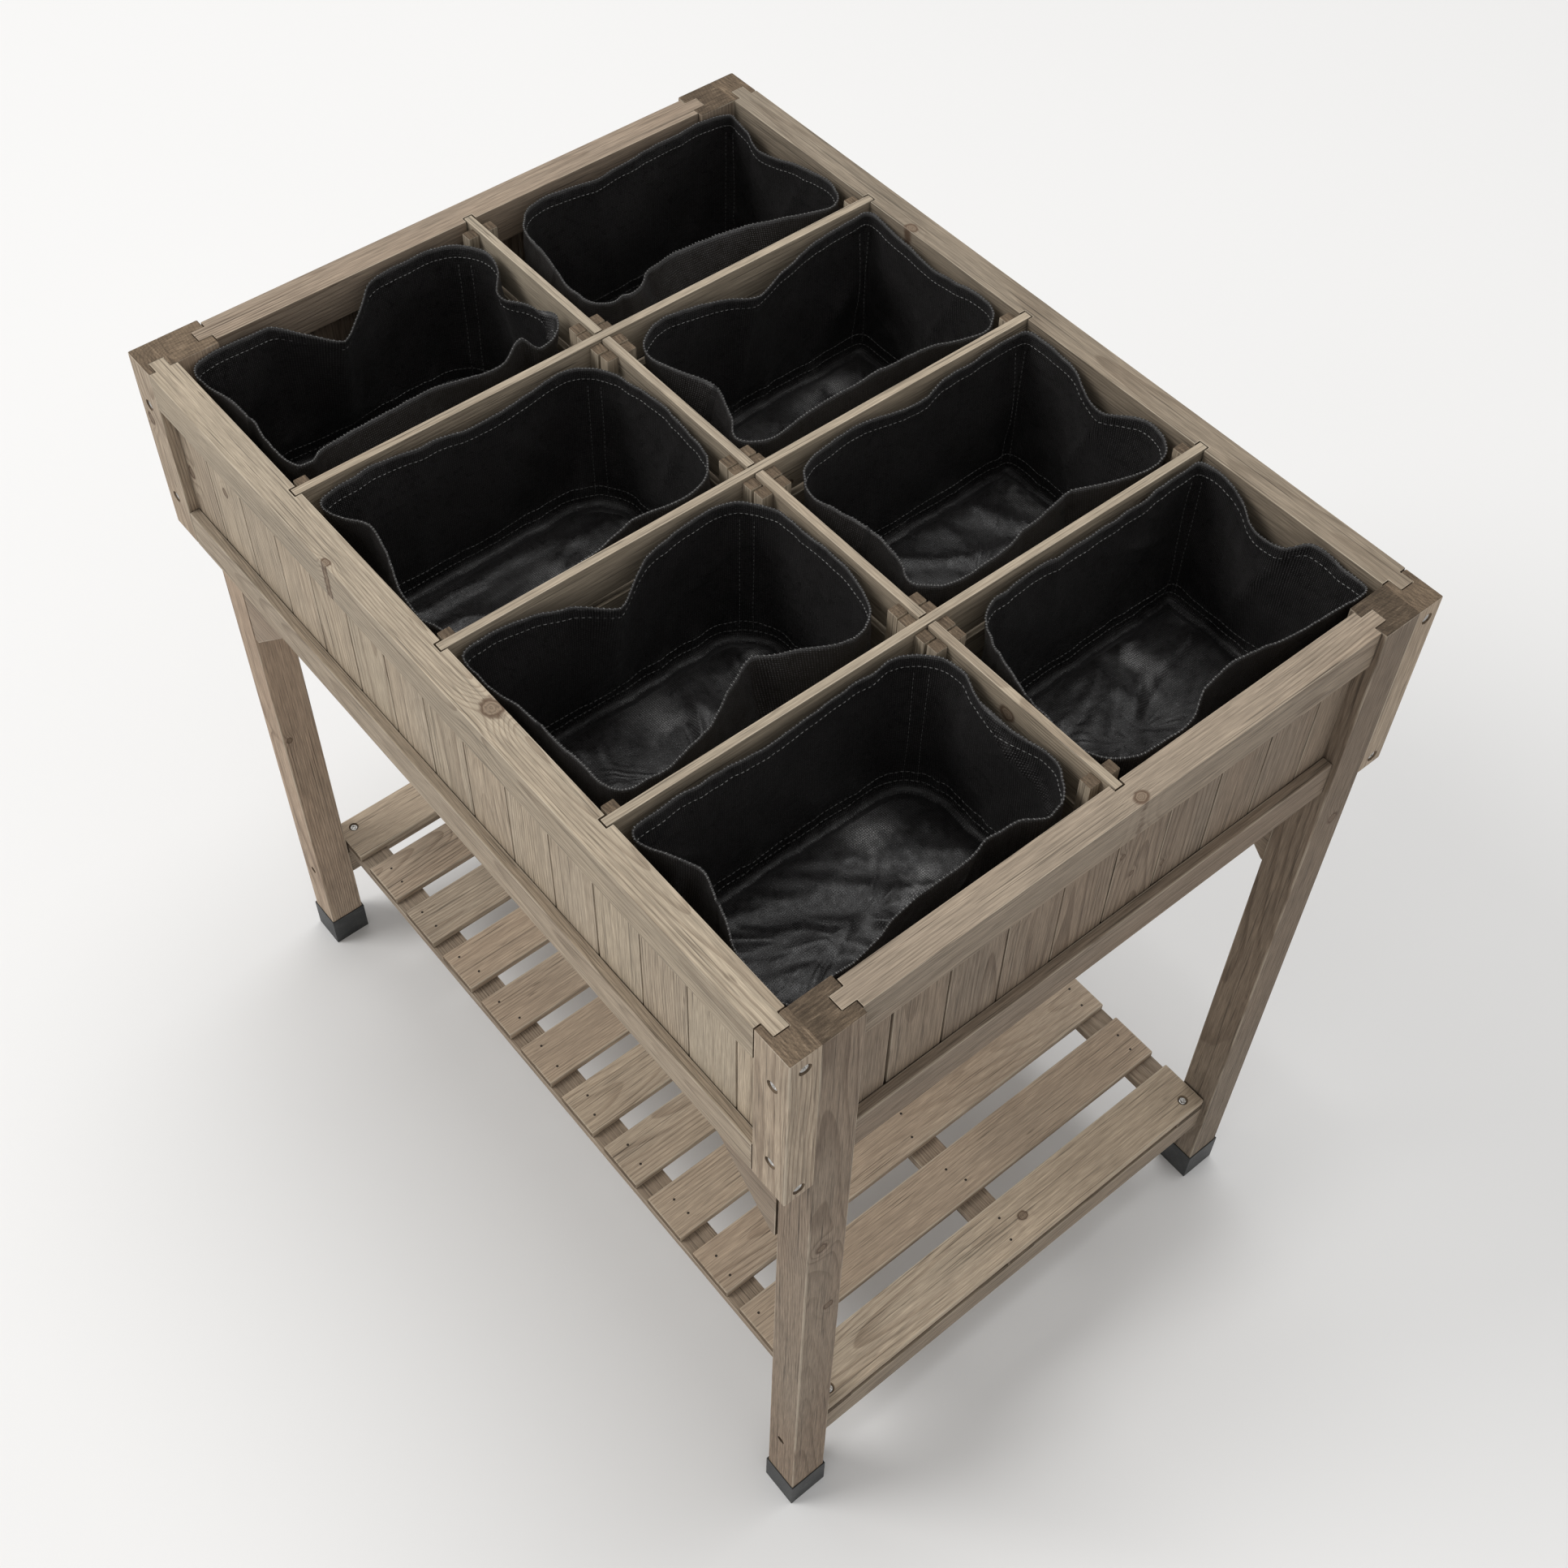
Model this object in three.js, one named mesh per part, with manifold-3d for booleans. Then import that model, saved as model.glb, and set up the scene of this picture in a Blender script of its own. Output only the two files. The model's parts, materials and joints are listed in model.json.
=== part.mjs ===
// Raised herb planter on four legs: a timber box with eight lift-out fabric pockets,
// loose slatted dividers between them, and a slatted shelf between the legs.
// Millimetres, +Z up. X runs along the long side, the front faces -Y, and the origin lies
// on the ground under the middle of the planter.
import * as THREE from 'three';
import { mergeVertices } from 'three/addons/utils/BufferGeometryUtils.js';
import Module from 'manifold-3d';

const wasm = await Module();
wasm.setup();

// ---------- driving dimensions ----------
const WIDTH = 778; // outside of the legs along X
const DEPTH = 580; // outside of the corner blocks along Y
const HEIGHT = 800; // ground to the top of the box
const BOX_HEIGHT = 180; // corner blocks and wall height

const LEG_X = 33; // leg section along X
const LEG_Y = 35; // leg section along Y
const STOCK = 24; // thickness of rails, corner blocks and braces
const RAIL_HEIGHT = 35;
const TENON_LENGTH = 11;
const TENON_WIDTH = 12;
const FIT = 0.3; // gap left around a piece that sits in a neighbour

const CAP_WALL = 1;
const CAP_FLOOR = 4;
const CAP_HEIGHT = 36.5;
const CAP_FIT = 0.15;

const PLANK_THICKNESS = 8;
const PLANK_PITCH = 49.3;
const LONG_FIRST_PLANK = 44; // width in view of the plank at the left end, from outside
const SHORT_FIRST_PLANK = 35.5;
const GROOVE_DEPTH = 6; // planks enter the rails by this much
const SEAM_WIDTH = 2.4;
const SEAM_DEPTH = 1.5;

const BOARD = 7; // thickness of the divider boards
const BOARD_ROWS = 3;
const BOARD_GAP = 8; // between one row and the next
const BOARD_TOE = 20; // open space under the lowest row
const BATTEN = 10;
const BATTEN_DROP = 3; // battens stop this far below the board tops
const SLOT_PLAY = 1; // play on each face of a board in its slot
const NOTCH_DEPTH = 5.5;
const NOTCH_BACKING = 1.5; // wood left between a notch and the planks
const CROSS_PITCH = 184; // spacing of the cross dividers along X
const END_BATTEN_INSET = 3; // end battens stand off the wall rails
const OUTER_BATTEN_INSET = 7;

const FLOOR_THICKNESS = 8;
const CLEAT = 12;
const CLEAT_LIFT = 10; // cleats start this far above the bottom of the box
const FLOOR_BOARD_WIDTH = 60; // boards that carry the cross dividers
const FLOOR_GAP = 12;
const BAY_FLOOR_BOARDS = 2; // boards between those, in each bay
const LATH_WIDTH = 30;
const LATH_THICKNESS = 6;
const LATH_OFFSET = 100;

const LINER_CLEARANCE = 6; // pocket walls to liner
const LINER_LEG_GAP = 1.5; // pocket to the inner face of a leg
const LINER_BATTEN_GAP = 3.5; // rounded corner of a pocket to the nearest batten
const LINER_WALL = 2;
const LINER_DROP = 4; // rim below the top of the box
const LINER_ARC_STEPS = 8;

const BRACE_GAP = 2; // open slot between brace and leg
const BRACE_DROP = 135; // brace tip below the box
const BRACE_FOOT = 5; // flat at the brace tip
const BRACE_HEIGHT = 64; // vertical cut of the brace at the leg

const SHELF_TOP = 145;
const SLAT_COUNT = 12;
const SLAT_WIDTH = 48.5;
const SLAT_THICKNESS = 8;
const BEARER_WIDTH = 31;
const BEARER_THICKNESS = 10;
const END_RAIL_HEIGHT = 32;
const SHELF_INSET = 6.5; // shelf ends behind the outside of the legs
const SHELF_PLAY = 1.5; // slat ends to the legs

// ---------- levels and planes that follow ----------
const halfWidth = WIDTH / 2;
const halfDepth = DEPTH / 2;
const boxBottom = HEIGHT - BOX_HEIGHT;
const topRailBottom = HEIGHT - RAIL_HEIGHT;
const bottomRailTop = boxBottom + RAIL_HEIGHT;
const legInnerX = halfWidth - LEG_X;
const legOuterY = halfDepth - STOCK; // legs stand behind the corner blocks
const legInnerY = legOuterY - LEG_Y;
const sideRailOuter = halfWidth - LEG_X / 2 + STOCK / 2;
const sideRailInner = sideRailOuter - STOCK;
const plankSetback = STOCK - NOTCH_DEPTH - NOTCH_BACKING - PLANK_THICKNESS;
const slot = BOARD + 2 * SLOT_PLAY;
const floorBottom = boxBottom + CLEAT_LIFT + CLEAT;
const floorTop = floorBottom + FLOOR_THICKNESS;
const boardHeight = (HEIGHT - floorTop - BOARD_TOE + BOARD_GAP) / BOARD_ROWS - BOARD_GAP;
const battenTop = HEIGHT - BATTEN_DROP;
const crossBattenInset = BATTEN + 1.5 * SLOT_PLAY; // long battens start clear of the cross ones
const crossCentres = [-CROSS_PITCH, 0, CROSS_PITCH];

// ---------- materials ----------
function material(color, roughness, metalness = 0) {
  return new THREE.MeshStandardMaterial({ color, roughness, metalness });
}

const timber = () => material(0xa3947c, 0.8);
const fabric = () => material(0x232324, 0.9);
const plastic = () => material(0x2b2d2e, 0.55);

// ---------- solid helpers ----------
function toSolid(geometry) {
  const bare = new THREE.BufferGeometry();
  bare.setAttribute('position', geometry.getAttribute('position').clone());
  if (geometry.getIndex()) {
    bare.setIndex(geometry.getIndex().clone());
  }
  const merged = mergeVertices(bare, 1e-4);
  const mesh = new wasm.Mesh({
    numProp: 3,
    vertProperties: new Float32Array(merged.getAttribute('position').array),
    triVerts: new Uint32Array(merged.getIndex().array),
  });
  return new wasm.Manifold(mesh);
}

function sorted(a, b) {
  return a < b ? [a, b] : [b, a];
}

// A box between two values on each axis; the two may come in either order.
function box(xs, ys, zs) {
  const [x0, x1] = sorted(...xs);
  const [y0, y1] = sorted(...ys);
  const [z0, z1] = sorted(...zs);
  const geometry = new THREE.BoxGeometry(x1 - x0, y1 - y0, z1 - z0);
  geometry.translate((x0 + x1) / 2, (y0 + y1) / 2, (z0 + z1) / 2);
  return toSolid(geometry);
}

// A plan outline raised between two heights.
function raise(outline, bottom, top) {
  const geometry = new THREE.ExtrudeGeometry(new THREE.Shape(outline), {
    depth: top - bottom,
    bevelEnabled: false,
    curveSegments: LINER_ARC_STEPS,
  });
  geometry.translate(0, 0, bottom);
  return toSolid(geometry);
}

function joined(solids) {
  return solids.reduce((whole, next) => whole.add(next));
}

function cut(solid, cutters) {
  return cutters.reduce((rest, cutter) => rest.subtract(cutter), solid);
}

const planter = new THREE.Group();
planter.name = 'raised_planter';

function place(name, solid, surface) {
  const mesh = solid.getMesh();
  const geometry = new THREE.BufferGeometry();
  geometry.setAttribute('position', new THREE.BufferAttribute(mesh.vertProperties, 3));
  geometry.setIndex(new THREE.BufferAttribute(mesh.triVerts, 1));
  geometry.computeVertexNormals();
  const piece = new THREE.Mesh(geometry, surface);
  piece.name = name;
  planter.add(piece);
}

const corners = [
  { name: 'front_left', sx: -1, sy: -1 },
  { name: 'front_right', sx: 1, sy: -1 },
  { name: 'back_left', sx: -1, sy: 1 },
  { name: 'back_right', sx: 1, sy: 1 },
];
const longSides = [
  { name: 'front', sy: -1 },
  { name: 'back', sy: 1 },
];
const shortSides = [
  { name: 'left', sx: -1 },
  { name: 'right', sx: 1 },
];

// ---------- legs, corner blocks and feet ----------
// Tenons of the side rails are centred in the leg; those of the front and back rails are
// centred in the corner block.
const sideTenonX = halfWidth - LEG_X / 2;
const longTenonY = halfDepth - STOCK / 2;

function leg({ sx, sy }) {
  const post = box([sx * legInnerX, sx * halfWidth], [sy * legInnerY, sy * legOuterY],
    [CAP_FLOOR, HEIGHT]);
  const half = TENON_WIDTH / 2 + FIT;
  const mortise = box([sx * (sideTenonX - half), sx * (sideTenonX + half)],
    [sy * (legInnerY - 1), sy * (legInnerY + TENON_LENGTH + FIT)], [topRailBottom, HEIGHT + 1]);
  return cut(post, [mortise]);
}

function cornerBlock({ sx, sy }) {
  const block = box([sx * legInnerX, sx * halfWidth], [sy * legOuterY, sy * halfDepth],
    [boxBottom, HEIGHT]);
  const half = TENON_WIDTH / 2 + FIT;
  const mortise = box([sx * (legInnerX - 1), sx * (legInnerX + TENON_LENGTH + FIT)],
    [sy * (longTenonY - half), sy * (longTenonY + half)], [topRailBottom, HEIGHT + 1]);
  return cut(block, [mortise]);
}

function footCap({ sx, sy }) {
  const reach = CAP_WALL + CAP_FIT;
  const shell = box([sx * (legInnerX - reach), sx * (halfWidth + reach)],
    [sy * (legInnerY - reach), sy * (legOuterY + reach)], [0, CAP_HEIGHT]);
  const pocket = box([sx * (legInnerX - CAP_FIT), sx * (halfWidth + CAP_FIT)],
    [sy * (legInnerY - CAP_FIT), sy * (legOuterY + CAP_FIT)], [CAP_FLOOR, CAP_HEIGHT + 1]);
  return cut(shell, [pocket]);
}

// ---------- rails ----------
// Each wall has a top rail with tenons and divider notches and a bottom rail; both have a
// groove that holds the planks.
const longGroove = [
  halfDepth - plankSetback + FIT,
  halfDepth - plankSetback - PLANK_THICKNESS - FIT,
];
const sideGroove = [
  sideRailOuter - plankSetback + FIT,
  sideRailOuter - plankSetback - PLANK_THICKNESS - FIT,
];
const topGrooveZ = [topRailBottom - 1, topRailBottom + GROOVE_DEPTH + FIT];
const bottomGrooveZ = [bottomRailTop - GROOVE_DEPTH, bottomRailTop + 1];

function longTopRail({ sy }) {
  const rail = box([-legInnerX, legInnerX], [sy * legOuterY, sy * halfDepth],
    [topRailBottom, HEIGHT]);
  const tenonEnd = legInnerX + TENON_LENGTH;
  const tenons = box([-tenonEnd, tenonEnd],
    [sy * (longTenonY - TENON_WIDTH / 2), sy * (longTenonY + TENON_WIDTH / 2)],
    [topRailBottom, HEIGHT]);
  const groove = box([-legInnerX, legInnerX], longGroove.map((y) => sy * y), topGrooveZ);
  const notches = crossCentres.map((x) => box([x - slot / 2, x + slot / 2],
    [sy * (legOuterY - 1), sy * (legOuterY + NOTCH_DEPTH)], [topRailBottom - 1, HEIGHT + 1]));
  return cut(joined([rail, tenons]), [groove, ...notches]);
}

function sideTopRail({ sx }) {
  const rail = box([sx * sideRailInner, sx * sideRailOuter], [-legInnerY, legInnerY],
    [topRailBottom, HEIGHT]);
  const tenonEnd = legInnerY + TENON_LENGTH;
  const tenons = box([sx * (sideTenonX - TENON_WIDTH / 2), sx * (sideTenonX + TENON_WIDTH / 2)],
    [-tenonEnd, tenonEnd], [topRailBottom, HEIGHT]);
  const groove = box(sideGroove.map((x) => sx * x), [-legInnerY, legInnerY], topGrooveZ);
  const notch = box([sx * (sideRailInner - 1), sx * (sideRailInner + NOTCH_DEPTH)],
    [-slot / 2, slot / 2], [topRailBottom - 1, HEIGHT + 1]);
  return cut(joined([rail, tenons]), [groove, notch]);
}

function longBottomRail({ sy }) {
  const rail = box([-legInnerX, legInnerX], [sy * legOuterY, sy * halfDepth],
    [boxBottom, bottomRailTop]);
  return cut(rail, [box([-legInnerX - 1, legInnerX + 1], longGroove.map((y) => sy * y),
    bottomGrooveZ)]);
}

function sideBottomRail({ sx }) {
  const rail = box([sx * sideRailInner, sx * sideRailOuter], [-legInnerY, legInnerY],
    [boxBottom, bottomRailTop]);
  return cut(rail, [box(sideGroove.map((x) => sx * x), [-legInnerY - 1, legInnerY + 1],
    bottomGrooveZ)]);
}

// ---------- plank walls ----------
// Planks of one pitch between two cut ones, with a V seam on the outside of each joint. The
// outline is drawn along the wall with the outer face at zero and turned into place.
function plankOutline(halfLength, firstPlank) {
  const seams = [];
  for (let at = firstPlank - halfLength; at < halfLength - SEAM_WIDTH; at += PLANK_PITCH) {
    seams.push(at);
  }
  const outline = [new THREE.Vector2(-halfLength, 0)];
  for (const at of seams) {
    outline.push(new THREE.Vector2(at - SEAM_WIDTH / 2, 0));
    outline.push(new THREE.Vector2(at, SEAM_DEPTH));
    outline.push(new THREE.Vector2(at + SEAM_WIDTH / 2, 0));
  }
  outline.push(new THREE.Vector2(halfLength, 0));
  outline.push(new THREE.Vector2(halfLength, PLANK_THICKNESS));
  outline.push(new THREE.Vector2(-halfLength, PLANK_THICKNESS));
  return outline;
}

function plankWall(outline, outerFace, quarterTurns) {
  const turn = quarterTurns * Math.PI / 2;
  const placed = outline.map((point) => new THREE.Vector2(point.x,
    point.y - outerFace).rotateAround(new THREE.Vector2(), turn));
  return raise(placed, bottomRailTop - GROOVE_DEPTH, topRailBottom + GROOVE_DEPTH);
}

// ---------- braces ----------
function brace({ sx, sy }) {
  const inner = legInnerX - BRACE_GAP;
  const tip = boxBottom - BRACE_DROP;
  const rise = floorBottom - tip;
  const profile = [
    [inner, tip],
    [inner - BRACE_FOOT, tip],
    [inner - BRACE_FOOT - rise, floorBottom],
    [inner - (rise - BRACE_HEIGHT), floorBottom],
    [inner, tip + BRACE_HEIGHT],
  ];
  const outline = profile.map(([x, z]) => new THREE.Vector2(sx * x, z));
  const geometry = new THREE.ExtrudeGeometry(new THREE.Shape(outline), {
    depth: STOCK,
    bevelEnabled: false,
  });
  geometry.rotateX(Math.PI / 2);
  geometry.translate(0, sy > 0 ? legOuterY : STOCK - legOuterY, 0);
  return toSolid(geometry);
}

// ---------- box floor ----------
const cleatEnd = legInnerX - BRACE_GAP - BRACE_FOOT - (floorBottom - boxBottom + BRACE_DROP);

function floorCleat({ sy }) {
  return box([-cleatEnd, cleatEnd], [sy * (legOuterY - CLEAT), sy * legOuterY],
    [floorBottom - CLEAT, floorBottom]);
}

// One board lies under each cross divider, and equal boards fill the bays between them.
function floorDeck() {
  const reachX = legInnerX - FIT;
  const reachY = legOuterY - FIT;
  const pieces = [];
  const addBoard = (x0, x1) => {
    pieces.push(box([x0, x1], [-reachY, reachY], [floorBottom, floorTop]));
  };
  const stops = [-reachX - FLOOR_GAP];
  for (const x of crossCentres) {
    stops.push(x - FLOOR_BOARD_WIDTH / 2, x + FLOOR_BOARD_WIDTH / 2);
    addBoard(x - FLOOR_BOARD_WIDTH / 2, x + FLOOR_BOARD_WIDTH / 2);
  }
  stops.push(reachX + FLOOR_GAP);
  for (let i = 0; i < stops.length; i += 2) {
    const pitch = (stops[i + 1] - stops[i] - FLOOR_GAP) / BAY_FLOOR_BOARDS;
    for (let k = 0; k < BAY_FLOOR_BOARDS; k += 1) {
      const x = stops[i] + FLOOR_GAP + k * pitch;
      addBoard(x, x + pitch - FLOOR_GAP);
    }
  }
  for (const y of [-LATH_OFFSET, LATH_OFFSET]) {
    pieces.push(box([-reachX, reachX], [y - LATH_WIDTH / 2, y + LATH_WIDTH / 2],
      [floorBottom - LATH_THICKNESS, floorBottom]));
  }
  return joined(pieces);
}

// ---------- dividers ----------
// Boards in rows, one above the other, held by upright battens that stand on the floor.
function boardRows(makeBoard) {
  const rows = [];
  for (let row = 0; row < BOARD_ROWS; row += 1) {
    const top = HEIGHT - row * (boardHeight + BOARD_GAP);
    rows.push(makeBoard([top - boardHeight, top]));
  }
  return rows;
}

function crossDivider(x) {
  const end = legOuterY + NOTCH_DEPTH - SLOT_PLAY;
  const pieces = boardRows((zs) => box([x - BOARD / 2, x + BOARD / 2], [-end, end], zs));
  const battenZ = [floorTop, battenTop];
  for (const face of [-1, 1]) {
    for (const sy of [-1, 1]) {
      pieces.push(box([x + face * BOARD / 2, x + face * (BOARD / 2 + BATTEN)],
        [sy * slot / 2, sy * (slot / 2 + BATTEN)], battenZ));
    }
  }
  const endBatten = legOuterY - END_BATTEN_INSET;
  for (const sy of [-1, 1]) {
    pieces.push(box([x - BOARD / 2, x - BOARD / 2 - BATTEN],
      [sy * endBatten, sy * (endBatten - BATTEN)], battenZ));
  }
  return joined(pieces);
}

// Ends of the bays along X: boards reach from one cross divider to the next, and the outer
// ones sit in the notches of the side rails.
const bays = [-1, ...crossCentres.keys()].map((left) => {
  const hasLeft = left >= 0;
  const hasRight = left + 1 < crossCentres.length;
  return {
    left: hasLeft ? crossCentres[left] + BOARD / 2 : -sideRailInner,
    right: hasRight ? crossCentres[left + 1] - BOARD / 2 : sideRailInner,
    hasLeft,
    hasRight,
  };
});

function longDivider(bay) {
  const start = bay.hasLeft ? bay.left + SLOT_PLAY : bay.left - NOTCH_DEPTH + SLOT_PLAY;
  const end = bay.hasRight ? bay.right - SLOT_PLAY : bay.right + NOTCH_DEPTH - SLOT_PLAY;
  const pieces = boardRows((zs) => box([start, end], [-BOARD / 2, BOARD / 2], zs));
  const inset = (touchesCross) => (touchesCross ? crossBattenInset : OUTER_BATTEN_INSET);
  const leftBatten = bay.left + inset(bay.hasLeft);
  const rightBatten = bay.right - inset(bay.hasRight);
  for (const face of [-1, 1]) {
    for (const [a, b] of [[leftBatten, leftBatten + BATTEN], [rightBatten - BATTEN, rightBatten]]) {
      pieces.push(box([a, b], [face * BOARD / 2, face * (BOARD / 2 + BATTEN)],
        [floorTop, battenTop]));
    }
  }
  return joined(pieces);
}

// ---------- liners ----------
function roundedOutline(x0, x1, y0, y1, radius) {
  const shape = new THREE.Shape();
  shape.moveTo(x0 + radius, y0);
  shape.lineTo(x1 - radius, y0);
  shape.absarc(x1 - radius, y0 + radius, radius, -Math.PI / 2, 0);
  shape.lineTo(x1, y1 - radius);
  shape.absarc(x1 - radius, y1 - radius, radius, 0, Math.PI / 2);
  shape.lineTo(x0 + radius, y1);
  shape.absarc(x0 + radius, y1 - radius, radius, Math.PI / 2, Math.PI);
  shape.lineTo(x0, y0 + radius);
  shape.absarc(x0 + radius, y0 + radius, radius, Math.PI, 1.5 * Math.PI);
  return shape.getPoints(LINER_ARC_STEPS);
}

// Smallest plan radius whose arc passes the far corner of the batten that stands `along` and
// `across` from the square corner of the pocket.
function cornerRadius(along, across, gap) {
  const sum = along + across + gap;
  return sum + Math.sqrt(sum ** 2 - along ** 2 - across ** 2 + gap ** 2);
}

const linerCorner = cornerRadius(crossBattenInset + BATTEN - LINER_CLEARANCE,
  BATTEN - LINER_CLEARANCE, LINER_BATTEN_GAP);
const linerReach = Math.min(sideRailInner - LINER_CLEARANCE, legInnerX - LINER_LEG_GAP);

function liner(bay, sy) {
  const x0 = Math.max(bay.left + LINER_CLEARANCE, -linerReach);
  const x1 = Math.min(bay.right - LINER_CLEARANCE, linerReach);
  const [y0, y1] = sorted(sy * (BOARD / 2 + LINER_CLEARANCE), sy * (legOuterY - LINER_CLEARANCE));
  const rim = HEIGHT - LINER_DROP;
  const wall = LINER_WALL;
  const outside = raise(roundedOutline(x0, x1, y0, y1, linerCorner), floorTop, rim);
  const inside = raise(
    roundedOutline(x0 + wall, x1 - wall, y0 + wall, y1 - wall, linerCorner - wall),
    floorTop + wall, rim + 1);
  return cut(outside, [inside]);
}

// ---------- shelf ----------
const shelfReach = halfWidth - SHELF_INSET;
const bearerTop = SHELF_TOP - SLAT_THICKNESS;
const endRailTop = bearerTop - BEARER_THICKNESS;
const slatEnd = legInnerY - SHELF_PLAY;

// The two end rails between the legs with the three bearers laid across them.
function shelfFrame() {
  const pieces = [];
  for (const sx of [-1, 1]) {
    pieces.push(box([sx * (shelfReach - STOCK), sx * shelfReach], [-legInnerY, legInnerY],
      [endRailTop - END_RAIL_HEIGHT, endRailTop]));
  }
  const outerBearer = slatEnd - BEARER_WIDTH / 2;
  for (const y of [-outerBearer, 0, outerBearer]) {
    pieces.push(box([-shelfReach, shelfReach], [y - BEARER_WIDTH / 2, y + BEARER_WIDTH / 2],
      [endRailTop, bearerTop]));
  }
  return joined(pieces);
}

function shelfSlat(index) {
  const pitch = (2 * shelfReach - SLAT_WIDTH) / (SLAT_COUNT - 1);
  const x = -shelfReach + index * pitch;
  return box([x, x + SLAT_WIDTH], [-slatEnd, slatEnd], [bearerTop, SHELF_TOP]);
}

// ---------- assembly ----------
for (const corner of corners) {
  place(`leg_${corner.name}`, leg(corner), timber());
  place(`corner_block_${corner.name}`, cornerBlock(corner), timber());
  place(`foot_cap_${corner.name}`, footCap(corner), plastic());
  place(`brace_${corner.name}`, brace(corner), timber());
}
for (const side of longSides) {
  place(`top_rail_${side.name}`, longTopRail(side), timber());
  place(`bottom_rail_${side.name}`, longBottomRail(side), timber());
  place(`floor_cleat_${side.name}`, floorCleat(side), timber());
}
for (const side of shortSides) {
  place(`top_rail_${side.name}`, sideTopRail(side), timber());
  place(`bottom_rail_${side.name}`, sideBottomRail(side), timber());
}

const longFace = halfDepth - plankSetback;
const sideFace = sideRailOuter - plankSetback;
const longPlanks = plankOutline(legInnerX, LONG_FIRST_PLANK);
const shortPlanks = plankOutline(legInnerY, SHORT_FIRST_PLANK);
place('wall_front', plankWall(longPlanks, longFace, 0), timber());
place('wall_right', plankWall(shortPlanks, sideFace, 1), timber());
place('wall_back', plankWall(longPlanks, longFace, 2), timber());
place('wall_left', plankWall(shortPlanks, sideFace, 3), timber());
place('floor_deck', floorDeck(), timber());

crossCentres.forEach((x, index) => {
  place(`cross_divider_${index + 1}`, crossDivider(x), timber());
});
bays.forEach((bay, index) => {
  place(`long_divider_${index + 1}`, longDivider(bay), timber());
  for (const side of longSides) {
    place(`liner_${side.name}_${index + 1}`, liner(bay, side.sy), fabric());
  }
});

place('shelf_frame', shelfFrame(), timber());
for (let index = 0; index < SLAT_COUNT; index += 1) {
  place(`shelf_slat_${String(index + 1).padStart(2, '0')}`, shelfSlat(index), timber());
}

export default planter;
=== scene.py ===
"""Raised planter on legs: pieces, materials, floor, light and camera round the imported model."""
import json
import math
import random

import bmesh
import bpy
from mathutils import Matrix, Vector, noise

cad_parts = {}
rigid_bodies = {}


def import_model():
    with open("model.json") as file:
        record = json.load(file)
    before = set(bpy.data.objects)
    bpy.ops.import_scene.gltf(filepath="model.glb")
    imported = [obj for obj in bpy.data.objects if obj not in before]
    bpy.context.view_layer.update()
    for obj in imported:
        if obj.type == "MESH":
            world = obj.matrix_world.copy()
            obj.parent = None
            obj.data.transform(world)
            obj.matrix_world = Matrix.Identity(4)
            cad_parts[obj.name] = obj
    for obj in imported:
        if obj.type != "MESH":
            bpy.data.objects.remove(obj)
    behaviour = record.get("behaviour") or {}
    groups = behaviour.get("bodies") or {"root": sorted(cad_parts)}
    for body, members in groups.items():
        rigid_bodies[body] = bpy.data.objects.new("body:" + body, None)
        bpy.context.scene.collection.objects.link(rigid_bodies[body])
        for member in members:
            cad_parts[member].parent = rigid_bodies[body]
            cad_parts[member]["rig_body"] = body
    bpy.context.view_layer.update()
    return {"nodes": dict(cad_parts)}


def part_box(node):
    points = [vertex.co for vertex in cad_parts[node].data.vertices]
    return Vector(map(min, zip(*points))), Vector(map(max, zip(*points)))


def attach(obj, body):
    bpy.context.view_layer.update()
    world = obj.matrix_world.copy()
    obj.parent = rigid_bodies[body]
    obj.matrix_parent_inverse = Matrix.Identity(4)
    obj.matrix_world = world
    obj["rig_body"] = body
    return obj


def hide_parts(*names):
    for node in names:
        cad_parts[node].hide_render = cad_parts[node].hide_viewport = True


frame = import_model()

MM = 0.001
NODES = frame["nodes"]
scene = bpy.context.scene

# ---------- camera ----------
CAMERA_AT = Vector((0.81764, -0.67418, 1.83527))
CAMERA_AIM = Vector((-0.05442, 0.06573, 0.400))
CAMERA_ROLL = math.radians(1.276)
camera = bpy.data.objects.new("camera", bpy.data.cameras.new("camera"))
scene.collection.objects.link(camera)
camera.location = CAMERA_AT
turn = (CAMERA_AIM - CAMERA_AT).to_track_quat("-Z", "Y").to_matrix()
camera.rotation_euler = (turn @ Matrix.Rotation(CAMERA_ROLL, 3, "Z")).to_euler()
camera.data.sensor_width = 36
camera.data.lens = 47.155
camera.data.shift_x = 0.00884
camera.data.shift_y = -0.0376
camera.data.clip_start, camera.data.clip_end = 0.05, 60
scene.camera = camera


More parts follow.
